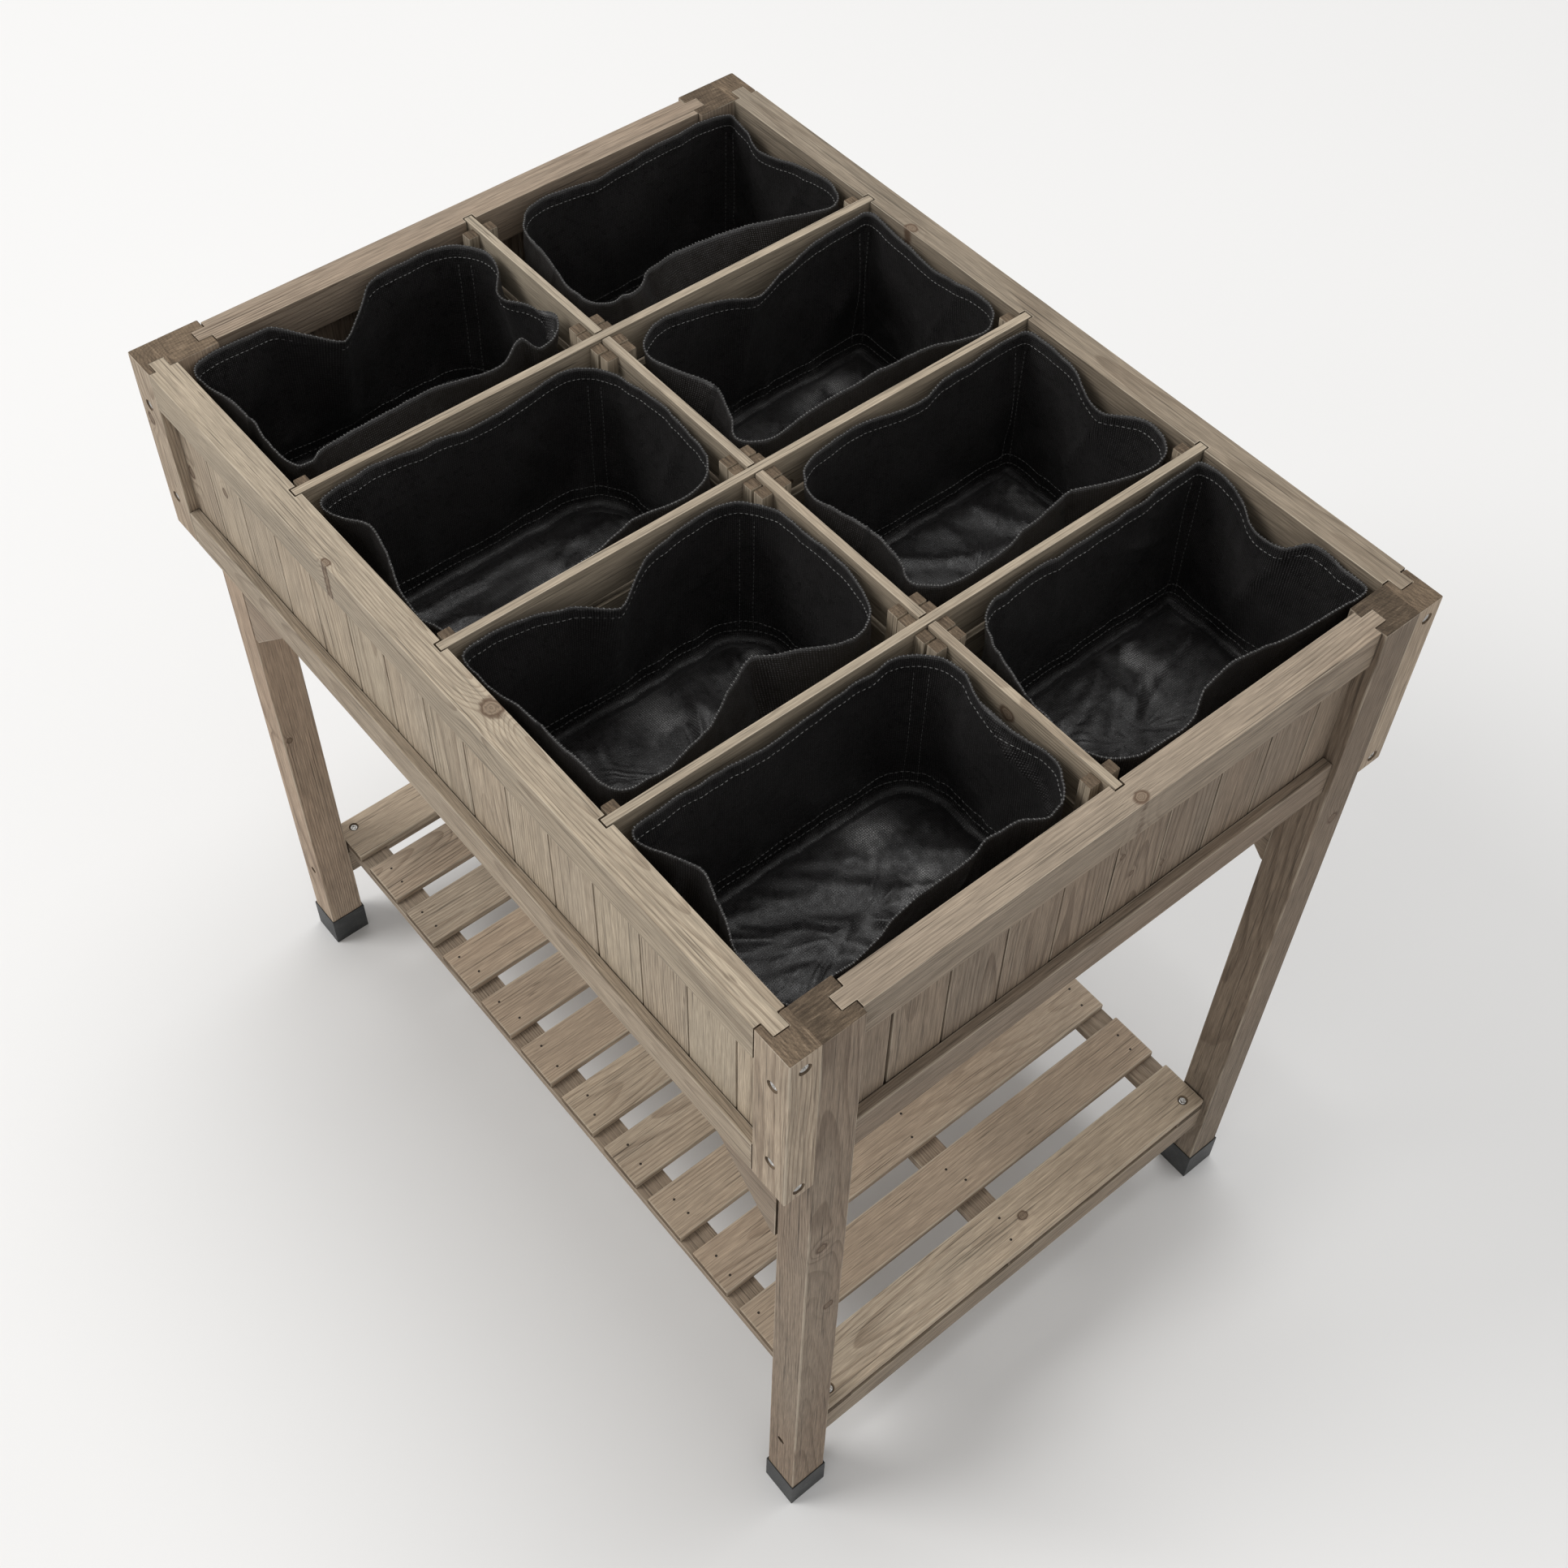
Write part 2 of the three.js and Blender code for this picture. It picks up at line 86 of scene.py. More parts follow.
# ---------- shader graphs ----------
class Graph:
    """A node material written as expressions: each call adds a node and returns its output."""

    def __init__(self, name):
        self.material = bpy.data.materials.new(name)
        self.material.use_nodes = True
        self.tree = self.material.node_tree
        self.tree.nodes.clear()
        out = self.add("ShaderNodeOutputMaterial")
        self.shader = self.add("ShaderNodeBsdfPrincipled")
        self.tree.links.new(self.shader.outputs[0], out.inputs[0])

    def add(self, kind, **settings):
        node = self.tree.nodes.new(kind)
        for key, value in settings.items():
            setattr(node, key, value)
        return node

    def feed(self, socket, value):
        if isinstance(value, bpy.types.NodeSocket):
            self.tree.links.new(value, socket)
        elif socket.type == "RGBA" and len(value) == 3:
            socket.default_value = (*value, 1)
        else:
            socket.default_value = value

    def finish(self, **sockets):
        for name, value in sockets.items():
            self.feed(self.shader.inputs[name.replace("_", " ")], value)
        return self.material

    def attribute(self, name, output="Vector"):
        return self.add("ShaderNodeAttribute", attribute_name=name).outputs[output]

    def math(self, operation, a, b=0.0, c=0.0):
        node = self.add("ShaderNodeMath", operation=operation)
        for socket, value in zip(node.inputs, (a, b, c)):
            self.feed(socket, value)
        return node.outputs[0]

    def times(self, a, b):
        return self.math("MULTIPLY", a, b)

    def scaled(self, a, b, c):
        """a times b, plus c."""
        return self.math("MULTIPLY_ADD", a, b, c)

    def stretched(self, at, factors):
        node = self.add("ShaderNodeVectorMath", operation="MULTIPLY")
        self.feed(node.inputs[0], at)
        self.feed(node.inputs[1], factors)
        return node.outputs[0]

    def split(self, vector):
        node = self.add("ShaderNodeSeparateXYZ")
        self.feed(node.inputs[0], vector)
        return node.outputs

    def join(self, x, y, z):
        node = self.add("ShaderNodeCombineXYZ")
        for socket, value in zip(node.inputs, (x, y, z)):
            self.feed(socket, value)
        return node.outputs[0]

    def noise(self, at, scale, detail=2.0, rough=0.5, stretch=(1, 1, 1)):
        node = self.add("ShaderNodeTexNoise", noise_dimensions="3D")
        if stretch != (1, 1, 1):
            at = self.stretched(at, stretch)
        self.feed(node.inputs["Vector"], at)
        node.inputs["Scale"].default_value = scale
        node.inputs["Detail"].default_value = detail
        node.inputs["Roughness"].default_value = rough
        return node.outputs[0]

    def cells(self, at, scale, stretch):
        node = self.add("ShaderNodeTexVoronoi", feature="F1")
        self.feed(node.inputs["Vector"], self.stretched(at, stretch))
        node.inputs["Scale"].default_value = scale
        return node.outputs["Distance"]

    def span(self, value, low, high, to_low=0.0, to_high=1.0, kind="SMOOTHSTEP"):
        node = self.add("ShaderNodeMapRange", interpolation_type=kind)
        for socket, number in zip(node.inputs, (value, low, high, to_low, to_high)):
            self.feed(socket, number)
        return node.outputs[0]

    def ramp(self, value, *limits):
        return self.span(value, *limits, kind="LINEAR")

    def mix(self, share, a, b, blend="MIX"):
        node = self.add("ShaderNodeMix", data_type="RGBA", blend_type=blend)
        self.feed(node.inputs[0], share)
        self.feed(node.inputs[6], a)
        self.feed(node.inputs[7], b)
        return node.outputs[2]

    def darken(self, colour, shade):
        return self.mix(1.0, colour, self.join(shade, shade, shade), "MULTIPLY")

    def bump(self, height, distance, strength):
        node = self.add("ShaderNodeBump")
        node.inputs["Strength"].default_value = strength
        node.inputs["Distance"].default_value = distance
        self.feed(node.inputs["Height"], height)
        return node.outputs[0]


# ---------- wood materials ----------
RING_PERIOD = 2.7 * MM
EARLY_WOOD, LATE_WOOD = (0.400, 0.335, 0.250), (0.205, 0.155, 0.108)
WARM_EARLY, WARM_LATE = (0.300, 0.225, 0.163), (0.125, 0.082, 0.054)
GREY_WOOD = (0.345, 0.303, 0.243)
KNOT_WOOD = (0.085, 0.050, 0.030)


def ring_phase(g, grain, rings):
    """Growth rings round the pith, wandering slowly along the piece and bulging at knots."""
    rx, ry, _ = g.split(rings)
    radius = g.math("SQRT", g.math("ADD", g.times(rx, rx), g.times(ry, ry)))
    wander = g.noise(grain, 9.0, 2.0, 0.5, (0.35, 1.6, 1.6))
    radius = g.scaled(g.math("SUBTRACT", wander, 0.5), 0.016, radius)
    cores = []
    uneven = g.noise(grain, 210.0, 2.0, 0.6, (0.5, 1.0, 1.0))
    for name in ("knot_a", "knot_b"):
        kx, ky, reach = g.split(g.attribute(name))
        d2 = g.math("ADD", g.times(kx, kx), g.times(ky, ky))
        swell = g.math("POWER", math.e, g.times(d2, -0.16))
        radius = g.scaled(swell, g.times(reach, 1.6), radius)
        cores.append(g.scaled(g.math("SUBTRACT", uneven, 0.5), 0.9,
                            g.math("SQRT", d2)))
    width = g.noise(g.join(radius, 0.37, 0.11), 70.0, 1.0)
    phase = g.scaled(width, 2.6, g.math("DIVIDE", radius, RING_PERIOD))
    nearest = g.math("MINIMUM", *cores)
    return phase, nearest


def make_timber():
    g = Graph("weathered_timber")
    grain, rings = g.attribute("grain"), g.attribute("rings")
    tone = g.split(rings)[2]
    phase, knot = ring_phase(g, grain, rings)
    part = g.math("FRACT", phase)
    late = g.times(g.span(part, 0.48, 0.92), g.span(part, 0.95, 1.0, 1.0, 0.0))
    fade = g.span(g.noise(grain, 5.0, 1.0, 0.5, (0.7, 2.2, 2.2)), 0.34, 0.66, 0.25, 1.0)
    late = g.times(late, fade)
    fibre = g.noise(grain, 1350.0, 2.0, 0.65, (0.035, 1.0, 1.0))
    streak = g.noise(grain, 480.0, 2.0, 0.6, (0.016, 1.0, 1.0))
    grey = g.span(g.noise(grain, 7.0, 2.0, 0.6, (0.30, 1.3, 1.3)), 0.35, 0.70)
    warm = g.attribute("warm", "Fac")
    light = g.mix(warm, EARLY_WOOD, WARM_EARLY)
    dark = g.mix(warm, LATE_WOOD, WARM_LATE)
    light = g.mix(g.times(grey, 0.32), light, GREY_WOOD)
    colour = g.mix(g.times(late, 0.56), light, dark)
    shade = g.ramp(fibre, 0.25, 0.75, 0.62, 1.26)
    shade = g.times(shade, g.ramp(streak, 0.28, 0.72, 0.84, 1.10))
    blotch = g.noise(grain, 26.0, 3.0, 0.65, (0.45, 1.0, 1.0))
    shade = g.times(shade, g.ramp(blotch, 0.30, 0.70, 0.90, 1.08))
    check = g.span(g.noise(grain, 620.0, 1.0, 0.5, (0.014, 1.0, 1.0)), 0.30, 0.36, 1.0, 0.0)
    shade = g.times(shade, g.scaled(check, -0.42, 1.0))
    shade = g.times(shade, tone)
    colour = g.darken(colour, shade)
    # resin specks and raised fibres that have gone dark
    speck = g.cells(grain, 260.0, (0.14, 1.0, 1.0))
    chosen = g.span(g.noise(grain, 60.0, 1.0, 0.5, (0.4, 1.0, 1.0)), 0.60, 0.72)
    speck = g.times(g.span(speck, 0.10, 0.26, 1.0, 0.0), chosen)
    colour = g.mix(g.times(speck, 0.55), colour, (0.10, 0.072, 0.050))
    # knots: a dark collar round a browner core with its own rings
    core = g.span(knot, 0.82, 1.02, 1.0, 0.0)
    collar = g.times(g.span(knot, 0.70, 0.92), g.span(knot, 0.98, 1.45, 1.0, 0.0))
    eye = g.math("FRACT", g.scaled(fibre, 0.8, g.times(knot, 2.8)))
    eye = g.mix(g.span(eye, 0.3, 0.95), (0.185, 0.132, 0.090), (0.095, 0.064, 0.043))
    colour = g.mix(g.times(core, 0.80), colour, eye)
    colour = g.mix(g.times(collar, 0.85), colour, KNOT_WOOD)
    # painted highlight: the rounded edge faces are paler
    edge = g.attribute("edge", "Fac")
    painted_highlight = g.times(edge, g.span(g.noise(grain, 40.0, 2.0, 0.6, (0.4, 1, 1)), 0.35, 0.6))
    colour = g.mix(g.times(painted_highlight, 0.42), colour, (0.520, 0.455, 0.360))
    rough = g.ramp(fibre, 0.2, 0.8, 0.86, 0.68)
    height = g.scaled(late, 0.35, g.times(fibre, 0.55))
    height = g.scaled(streak, 0.45, height)
    height = g.scaled(check, -0.6, height)
    height = g.math("SUBTRACT", height, g.times(speck, 0.6))
    return g.finish(Base_Color=colour, Roughness=rough, Specular_IOR_Level=0.28,
                    Normal=g.bump(height, 0.45 * MM, 0.55))


def make_end_grain():
    g = Graph("timber_end_grain")
    grain, rings = g.attribute("grain"), g.attribute("rings")
    tone = g.split(rings)[2]
    phase, _ = ring_phase(g, grain, rings)
    part = g.math("FRACT", phase)
    late = g.times(g.span(part, 0.35, 0.85), g.span(part, 0.94, 1.0, 1.0, 0.0))
    scratch = g.noise(g.stretched(grain, (0, 1, 1)), 620.0, 2.0, 0.6, (1, 0.10, 1.0))
    pores = g.noise(grain, 1100.0, 2.0, 0.6)
    patch = g.noise(grain, 60.0, 2.0, 0.6)
    colour = g.mix(g.times(late, 0.35), (0.108, 0.079, 0.053), (0.058, 0.040, 0.027))
    shade = g.times(g.ramp(scratch, 0.25, 0.75, 0.50, 1.50), tone)
    shade = g.times(shade, g.ramp(pores, 0.3, 0.7, 0.78, 1.22))
    shade = g.times(shade, g.ramp(patch, 0.3, 0.7, 0.82, 1.15))
    colour = g.darken(colour, shade)
    colour = g.mix(g.times(g.span(scratch, 0.60, 0.72), 0.30), colour,
                   (0.270, 0.216, 0.155))
    height = g.scaled(scratch, 0.8, g.times(pores, 0.4))
    return g.finish(Base_Color=colour, Roughness=0.86, Specular_IOR_Level=0.2,
                    Normal=g.bump(height, 0.5 * MM, 0.7))


def make_steel(name, colour, dull, rough, metallic):
    g = Graph(name)
    at = g.add("ShaderNodeTexCoord").outputs["Object"]
    stain = g.noise(at, 500.0, 3.0, 0.6)
    tint = g.mix(g.span(stain, 0.45, 0.72), colour, dull)
    grit = g.noise(at, 2600.0, 1.0)
    return g.finish(Base_Color=tint, Metallic=metallic, Specular_IOR_Level=0.5,
                    Roughness=g.span(stain, 0.3, 0.7, rough, rough + 0.2),
                    Normal=g.bump(grit, 0.08 * MM, 0.4))


def make_plastic():
    g = Graph("foot_cap_plastic")
    at = g.add("ShaderNodeTexCoord").outputs["Object"]
    grit = g.noise(at, 1500.0, 2.0, 0.6)
    dust_and_shine = g.noise(at, 70.0, 3.0, 0.6)
    scuff = g.noise(at, 260.0, 2.0, 0.6, (0.25, 0.25, 2.0))
    colour = g.mix(g.span(dust_and_shine, 0.42, 0.75), (0.018, 0.020, 0.021), (0.040, 0.042, 0.041))
    colour = g.mix(g.times(g.span(scuff, 0.62, 0.75), 0.5), colour,
                   (0.090, 0.090, 0.086))
    return g.finish(Base_Color=colour, Roughness=g.span(grit, 0.3, 0.7, 0.42, 0.60),
                    Specular_IOR_Level=0.5, Normal=g.bump(grit, 0.15 * MM, 0.5))


def make_fabric():
    """Black non-woven cloth: pressed dots in a grid, matted fibres, a faint waxy sheen, painted
    glints on the dots and painted highlights from the cloth attribute.
    """
    g = Graph("liner_nonwoven")
    cloth = g.attribute("cloth")
    u, v, painted_highlight = g.split(cloth)
    flat = g.join(u, v, 0.0)
    pitch = 2.3 * MM
    wave = []
    for along, across in ((1, 1), (1, -1)):
        line = g.scaled(v, across, g.times(u, along))
        wave.append(g.math("SINE", g.times(line, 2 * math.pi / (pitch * 1.414))))
    dots = g.times(*wave)
    dots = g.span(dots, 0.15, 0.75)
    fibre = g.noise(flat, 900.0, 3.0, 0.7)
    matted = g.noise(flat, 150.0, 3.0, 0.65)
    dust_and_shine = g.noise(flat, 22.0, 3.0, 0.6)
    colour = g.mix(g.span(matted, 0.3, 0.75), (0.0030, 0.0024, 0.0024), (0.0078, 0.0066, 0.0066))
    # painted glints: some pressed dots get a lighter colour
    painted_glint = g.times(dots, g.span(g.noise(flat, 620.0, 1.0), 0.45, 0.62, 0.25, 1.0))
    colour = g.mix(g.times(painted_glint, 0.80), colour, (0.075, 0.073, 0.073))
    # painted highlights: pale colour where the cloth attribute's third value is high, broken up by
    # noise, fibres and dots
    highlight_patches = g.times(painted_highlight, g.span(dust_and_shine, 0.42, 0.62))
    highlight_share = g.times(highlight_patches, g.span(fibre, 0.38, 0.62, 0.25, 1.0))
    highlight_share = g.times(highlight_share, g.span(dots, 0.0, 0.8, 0.30, 1.0))
    colour = g.mix(g.math("MINIMUM", highlight_share, 0.85), colour, (0.560, 0.555, 0.550))
    rough = g.span(matted, 0.25, 0.75, 0.30, 0.58)
    rough = g.math("SUBTRACT", rough, g.times(dots, 0.12))
    height = g.scaled(dots, 0.9, g.times(fibre, 0.6))
    height = g.scaled(matted, 0.7, height)
    return g.finish(Base_Color=colour, Roughness=rough, Specular_IOR_Level=0.45,
                    Sheen_Weight=0.02, Sheen_Roughness=0.5, Sheen_Tint=(0.8, 0.8, 0.82, 1),
                    Normal=g.bump(height, 0.5 * MM, 0.8))


def make_thread():
    g = Graph("stitch_thread")
    at = g.add("ShaderNodeTexCoord").outputs["Object"]
    fuzz = g.noise(at, 900.0, 2.0)
    colour = g.mix(g.span(fuzz, 0.3, 0.7), (0.09, 0.09, 0.088), (0.26, 0.26, 0.255))
    return g.finish(Base_Color=colour, Roughness=0.75, Normal=g.bump(fuzz, 0.2 * MM, 0.6))


TIMBER, END_GRAIN = make_timber(), make_end_grain()
SCREW = make_steel("zinc_screw", (0.60, 0.59, 0.57), (0.30, 0.29, 0.27), 0.32, 0.95)
NAIL = make_steel("dull_nail", (0.055, 0.045, 0.038), (0.020, 0.016, 0.014), 0.55, 0.5)
PLASTIC, FABRIC, THREAD = make_plastic(), make_fabric(), make_thread()


# ---------- wood pieces ----------
class Piece:
    """One object gathered from several members, each with its own grain."""

    def __init__(self, name, materials):
        self.name, self.materials = name, materials
        self.verts, self.faces, self.slots, self.edge = [], [], [], []
        self.points = {"grain": [], "rings": [], "knot_a": [], "knot_b": []}
        self.sharp, self.warm = [], []

    def take(self, bm, values=None, slot_of=None, edge_of=None, warm=0.0):
        bm.verts.index_update()
        start = len(self.verts)
        for v in bm.verts:
            self.verts.append(v.co.copy())
            given = values(v.co) if values else {}
            for key, rows in self.points.items():
                rows.append(given.get(key, (0, 0, 0)))
        for f in bm.faces:
            self.faces.append([start + v.index for v in f.verts])
            self.slots.append(slot_of(f) if slot_of else f.material_index)
            self.edge.append(edge_of(f) if edge_of else 0.0)
            self.warm.append(warm)
        for e in bm.edges:
            if e.is_manifold and e.calc_face_angle() > SHARP_ANGLE:
                self.sharp.append(tuple(sorted(start + v.index for v in e.verts)))
        bm.free()

    def make(self, body, nodes=(), slot=None):
        mesh = bpy.data.meshes.new(self.name)
        mesh.from_pydata(self.verts, [], self.faces)
        for material in self.materials:
            mesh.materials.append(material)
        mesh.polygons.foreach_set("material_index", self.slots)
        mesh.polygons.foreach_set("use_smooth", [True] * len(self.faces))
        for key, rows in self.points.items():
            layer = mesh.attributes.new(key, "FLOAT_VECTOR", "POINT")
            layer.data.foreach_set("vector", [n for row in rows for n in row])
        for key, rows in (("edge", self.edge), ("warm", self.warm)):
            layer = mesh.attributes.new(key, "FLOAT", "FACE")
            layer.data.foreach_set("value", rows)
        sharp = set(self.sharp)
        for e in mesh.edges:
            if tuple(sorted(e.vertices)) in sharp:
                e.use_edge_sharp = True
        made = bpy.data.objects.new(self.name, mesh)
        scene.collection.objects.link(made)
        weighted = made.modifiers.new("weighted", "WEIGHTED_NORMAL")
        weighted.keep_sharp = True
        weighted.weight = 90
        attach(made, body)
        if nodes:
            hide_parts(*nodes)
        return made


SHARP_ANGLE = math.radians(38)
FLAT_SAWN = 0.72  # share of the members whose wide face shows arched grain
KNOT_ODDS = (0.20, 0.06)  # of a first and of a second knot
KNOT_FREE = 120 * MM  # members up to this length get none
chance = random.Random(20)


def block(low, high):
    """A box as a bmesh, corners in metres."""
    bm = bmesh.new()
    bmesh.ops.create_cube(bm, size=1)
    size, middle = high - low, (high + low) / 2
    for v in bm.verts:
        v.co = Vector(v.co[i] * size[i] + middle[i] for i in range(3))
    return bm


def cad_shape(node):
    """The node's own mesh with its flat faces made whole."""
    bm = bmesh.new()
    bm.from_mesh(NODES[node].data)
    bmesh.ops.remove_doubles(bm, verts=bm.verts, dist=1e-5)
    bmesh.ops.dissolve_limit(bm, angle_limit=math.radians(1), verts=bm.verts, edges=bm.edges)
    bmesh.ops.recalc_face_normals(bm, faces=bm.faces)
    return bm


def eased(bm, axis, at, by):
    """Moves the faces at plus or minus `at` towards the middle by `by`, for an open joint."""
    for v in bm.verts:
        if abs(abs(v.co[axis]) - at) < 0.02 * MM:
            v.co[axis] -= math.copysign(by, v.co[axis])
    return bm


def work_object(name, bm):
    """A passing object with two empty material slots; the bmesh is used up."""
    mesh = bpy.data.meshes.new(name)
    bm.to_mesh(mesh)
    bm.free()
    mesh.materials.append(None)
    mesh.materials.append(None)
    made = bpy.data.objects.new(name, mesh)
    scene.collection.objects.link(made)
    return made


def drilled(bm, holes):
    """The shape with round sinkings cut into it. A hole is its centre, outward normal, radius,
    depth and the radius of its floor."""
    work = work_object("work", bm)
    cones = bmesh.new()
    lift = 1 * MM
    for centre, normal, radius, depth, floor in holes:
        turned = Vector(normal).to_track_quat("Z", "Y").to_matrix().to_4x4()
        moved = Matrix.Translation(Vector(centre) + Vector(normal) * (lift - depth) / 2)
        bmesh.ops.create_cone(
            cones, cap_ends=True, segments=18, radius1=floor,
            radius2=radius + (radius - floor) * lift / depth, depth=depth + lift,
            matrix=moved @ turned)
    for f in cones.faces:
        f.material_index = 1
    cutter = work_object("cutter", cones)
    boolean = work.modifiers.new("drill", "BOOLEAN")
    boolean.operation, boolean.object, boolean.solver = "DIFFERENCE", cutter, "EXACT"
    bpy.context.view_layer.update()
    result = bmesh.new()
    evaluated = work.evaluated_get(bpy.context.evaluated_depsgraph_get())
    result.from_mesh(evaluated.to_mesh())
    evaluated.to_mesh_clear()
    bpy.data.objects.remove(work)
    bpy.data.objects.remove(cutter)
    return result


def member(piece, bm, along, wide, edge, tone, knots=(), holes=(), warm=0.4):
    """Adds one wooden member: along and wide are the axes of its length and its wide face.
    knots are (along, across, radius) in world coordinates; the rest is drawn at random."""
    thick = 3 - along - wide
    low = Vector(min(v.co[i] for v in bm.verts) for i in range(3))
    high = Vector(max(v.co[i] for v in bm.verts) for i in range(3))
    middle, size = (low + high) / 2, high - low
    sharp = [e for e in bm.edges if e.is_manifold and e.calc_face_angle() > SHARP_ANGLE]
    bmesh.ops.bevel(bm, geom=sharp, offset=edge, segments=2, profile=0.55,
                    affect="EDGES", clamp_overlap=True)
    if holes:
        bm = drilled(bm, holes)
    drift = Vector(chance.uniform(-40, 40) for _ in range(3))
    if chance.random() < FLAT_SAWN:
        pith = (chance.uniform(-0.4, 0.4) * size[wide],
                chance.choice((-1, 1)) * chance.uniform(12, 45) * MM)
    else:
        pith = (chance.choice((-1, 1)) * chance.uniform(60, 110) * MM,
                chance.uniform(-20, 20) * MM)
    tilt = (chance.uniform(-0.012, 0.012), chance.uniform(-0.045, 0.045))
    # tone carries the per-side painted light and shade of the leg, rail and wall tables, with a
    # small random spread
    shade = tone * chance.uniform(0.93, 1.05)
    spots = list(knots)
    while len(spots) < 2:
        wanted = chance.random() < KNOT_ODDS[len(spots)] and size[along] > KNOT_FREE
        at = (low[along] + chance.uniform(0.06, 0.94) * size[along],
              low[wide] + chance.uniform(0.12, 0.88) * size[wide], chance.uniform(2.2, 5.0) * MM)
        spots.append(at if wanted else None)

    def values(co):
        u, v, w = co[along] - middle[along], co[wide] - middle[wide], co[thick] - middle[thick]
        found = {
            "grain": Vector((u, v, w)) + drift,
            "rings": (v - pith[0] - tilt[0] * u, w - pith[1] - tilt[1] * u, shade),
        }
        for key, spot in zip(("knot_a", "knot_b"), spots):
            if spot is None:
                found[key] = (99, 99, 0)
            else:
                radius = spot[2]
                found[key] = ((co[along] - spot[0]) / (radius * 1.25),
                              (co[wide] - spot[1]) / radius, radius)
        return found

    def slot_of(f):
        return 1 if abs(f.normal[along]) > 0.75 or f.material_index == 1 else 0

    def edge_of(f):
        straight = max(abs(n) for n in f.normal)
        return 0.0 if straight > 0.995 or f.material_index == 1 else 1.0

    warmth = min(1.0, max(0.0, warm + chance.uniform(-0.18, 0.18)))
    piece.take(bm, values, slot_of, edge_of, warmth)


def body_of(node):
    return NODES[node]["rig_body"]


def wooden(node):
    return Piece(node + "_timber", [TIMBER, END_GRAIN])


def done(piece, node):
    piece.make(body_of(node), [node], "timber")


def slab(x0, x1, y0, y1, z0, z1):
    return block(Vector((x0, y0, z0)), Vector((x1, y1, z1)))


X, Y, Z = 0, 1, 2
SIDES = {"left": -1, "right": 1, "front": -1, "back": 1}
CORNERS = [(fb, lr) for fb in ("front", "back") for lr in ("left", "right")]
screws, nails = [], []

# legs, corner blocks and braces
SCREW_SINK = (5.0 * MM, 2.2 * MM, 3.4 * MM)  # radius, depth, radius at the bottom
PEG_SINK, PEG_Z = (4 * MM, 9 * MM, 3.8 * MM), 115 * MM
OFF_CENTRE = 1.5 * MM  # peg holes and screws sit this far from the middle of the face
LEG_FACE, LEG_SIDE, LEG_BACK = 266 * MM, 356 * MM, 231 * MM
JOINT = 1.0 * MM
# painted light and shade per leg: each leg's colour is scaled lighter or darker for how the light
# falls on its seen faces
LEG_PAINTED_LIGHT_AND_SHADE = {"front_left": 1.28, "front_right": 0.80, "back_left": 0.92, "back_right": 0.68}
BLOCK_SCREW_Z = (659 * MM, 757 * MM)
SIDE_SCREW_Z = (631 * MM, 785 * MM)


def sunk(centre, normal):
    """A countersunk screw there; gives back the hole it needs."""
    screws.append((Vector(centre), Vector(normal)))
    return (Vector(centre), normal, *SCREW_SINK)


for fb, lr in CORNERS:
    sx, sy = SIDES[lr], SIDES[fb]
    tag = f"{fb}_{lr}"
    low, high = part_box("leg_" + tag)
    outer_y = high.y if sy > 0 else low.y
    mid_x, mid_y = (low.x + high.x) / 2, (low.y + high.y) / 2
    hole = (Vector((mid_x - sx * OFF_CENTRE, outer_y, PEG_Z)), (0, sy, 0), *PEG_SINK)
    knots = {"front_right": [(0.395, mid_y + 6 * MM, 4 * MM)],
             "back_right": [(0.575, mid_y + 4 * MM, 4.5 * MM)]}.get(tag, [])
    piece = wooden("leg_" + tag)
    member(piece, cad_shape("leg_" + tag), Z, Y, 1.3 * MM, LEG_PAINTED_LIGHT_AND_SHADE[tag], knots, [hole], 0.98)
    done(piece, "leg_" + tag)

    low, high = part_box("corner_block_" + tag)
    face_y = high.y if sy > 0 else low.y
    face_x = high.x if sx > 0 else low.x
    mid_x, mid_y = (low.x + high.x) / 2, (low.y + high.y) / 2
    holes = [sunk((mid_x + sx * OFF_CENTRE, face_y, z), (0, sy, 0)) for z in BLOCK_SCREW_Z]
    holes += [sunk((face_x, mid_y, z), (sx, 0, 0)) for z in SIDE_SCREW_Z]
    piece = wooden("corner_block_" + tag)
    shape = eased(cad_shape("corner_block_" + tag), Y, LEG_FACE, -JOINT)
    member(piece, shape, Z, X, 1.3 * MM, 1.26, (), holes, 0.55)
    done(piece, "corner_block_" + tag)

    piece = wooden("brace_" + tag)
    member(piece, cad_shape("brace_" + tag), X, Z, 1.0 * MM, 0.90, warm=0.8)
    done(piece, "brace_" + tag)

# rails and cleats
RAIL_KNOTS = {
    "top_rail_front": [(65 * MM, -272 * MM, 6.5 * MM), (-112 * MM, -288 * MM, 3 * MM)],
    "top_rail_back": [(-134 * MM, 270 * MM, 4 * MM)],
}
# painted shade per side: rails whose seen faces lie in shade, back and right, get a darker colour;
# rails along y are also painted warmer for the redder shade
RAIL_PAINTED_SHADE = {"front": 0.98, "back": 0.68, "left": 0.96, "right": 0.86}
LEVEL_TONES = {"top_rail_": 1.0, "bottom_rail_": 0.98}
# The strip behind a notch is 1.5 mm wide: a top rail's edges are rounded by under half that.
RAIL_EDGES = {"top_rail_": 0.6 * MM, "bottom_rail_": 1.1 * MM}
for level in ("top_rail_", "bottom_rail_"):
    for side in ("front", "back", "left", "right"):
        node = level + side
        along = X if side in ("front", "back") else Y
        wide = (Y if along == X else X) if level == "top_rail_" else Z
        piece = wooden(node)
        shape = eased(cad_shape(node), along, LEG_SIDE if along == X else LEG_BACK, JOINT / 2)
        member(piece, shape, along, wide, RAIL_EDGES[level], RAIL_PAINTED_SHADE[side] * LEVEL_TONES[level],
               RAIL_KNOTS.get(node, ()), warm=0.24 if along == X else 0.88)
        done(piece, node)
for side in ("front", "back"):
    node = "floor_cleat_" + side
    piece = wooden(node)
    member(piece, block(*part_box(node)), X, Z, 0.8 * MM, 0.9, warm=0.5)
    done(piece, node)

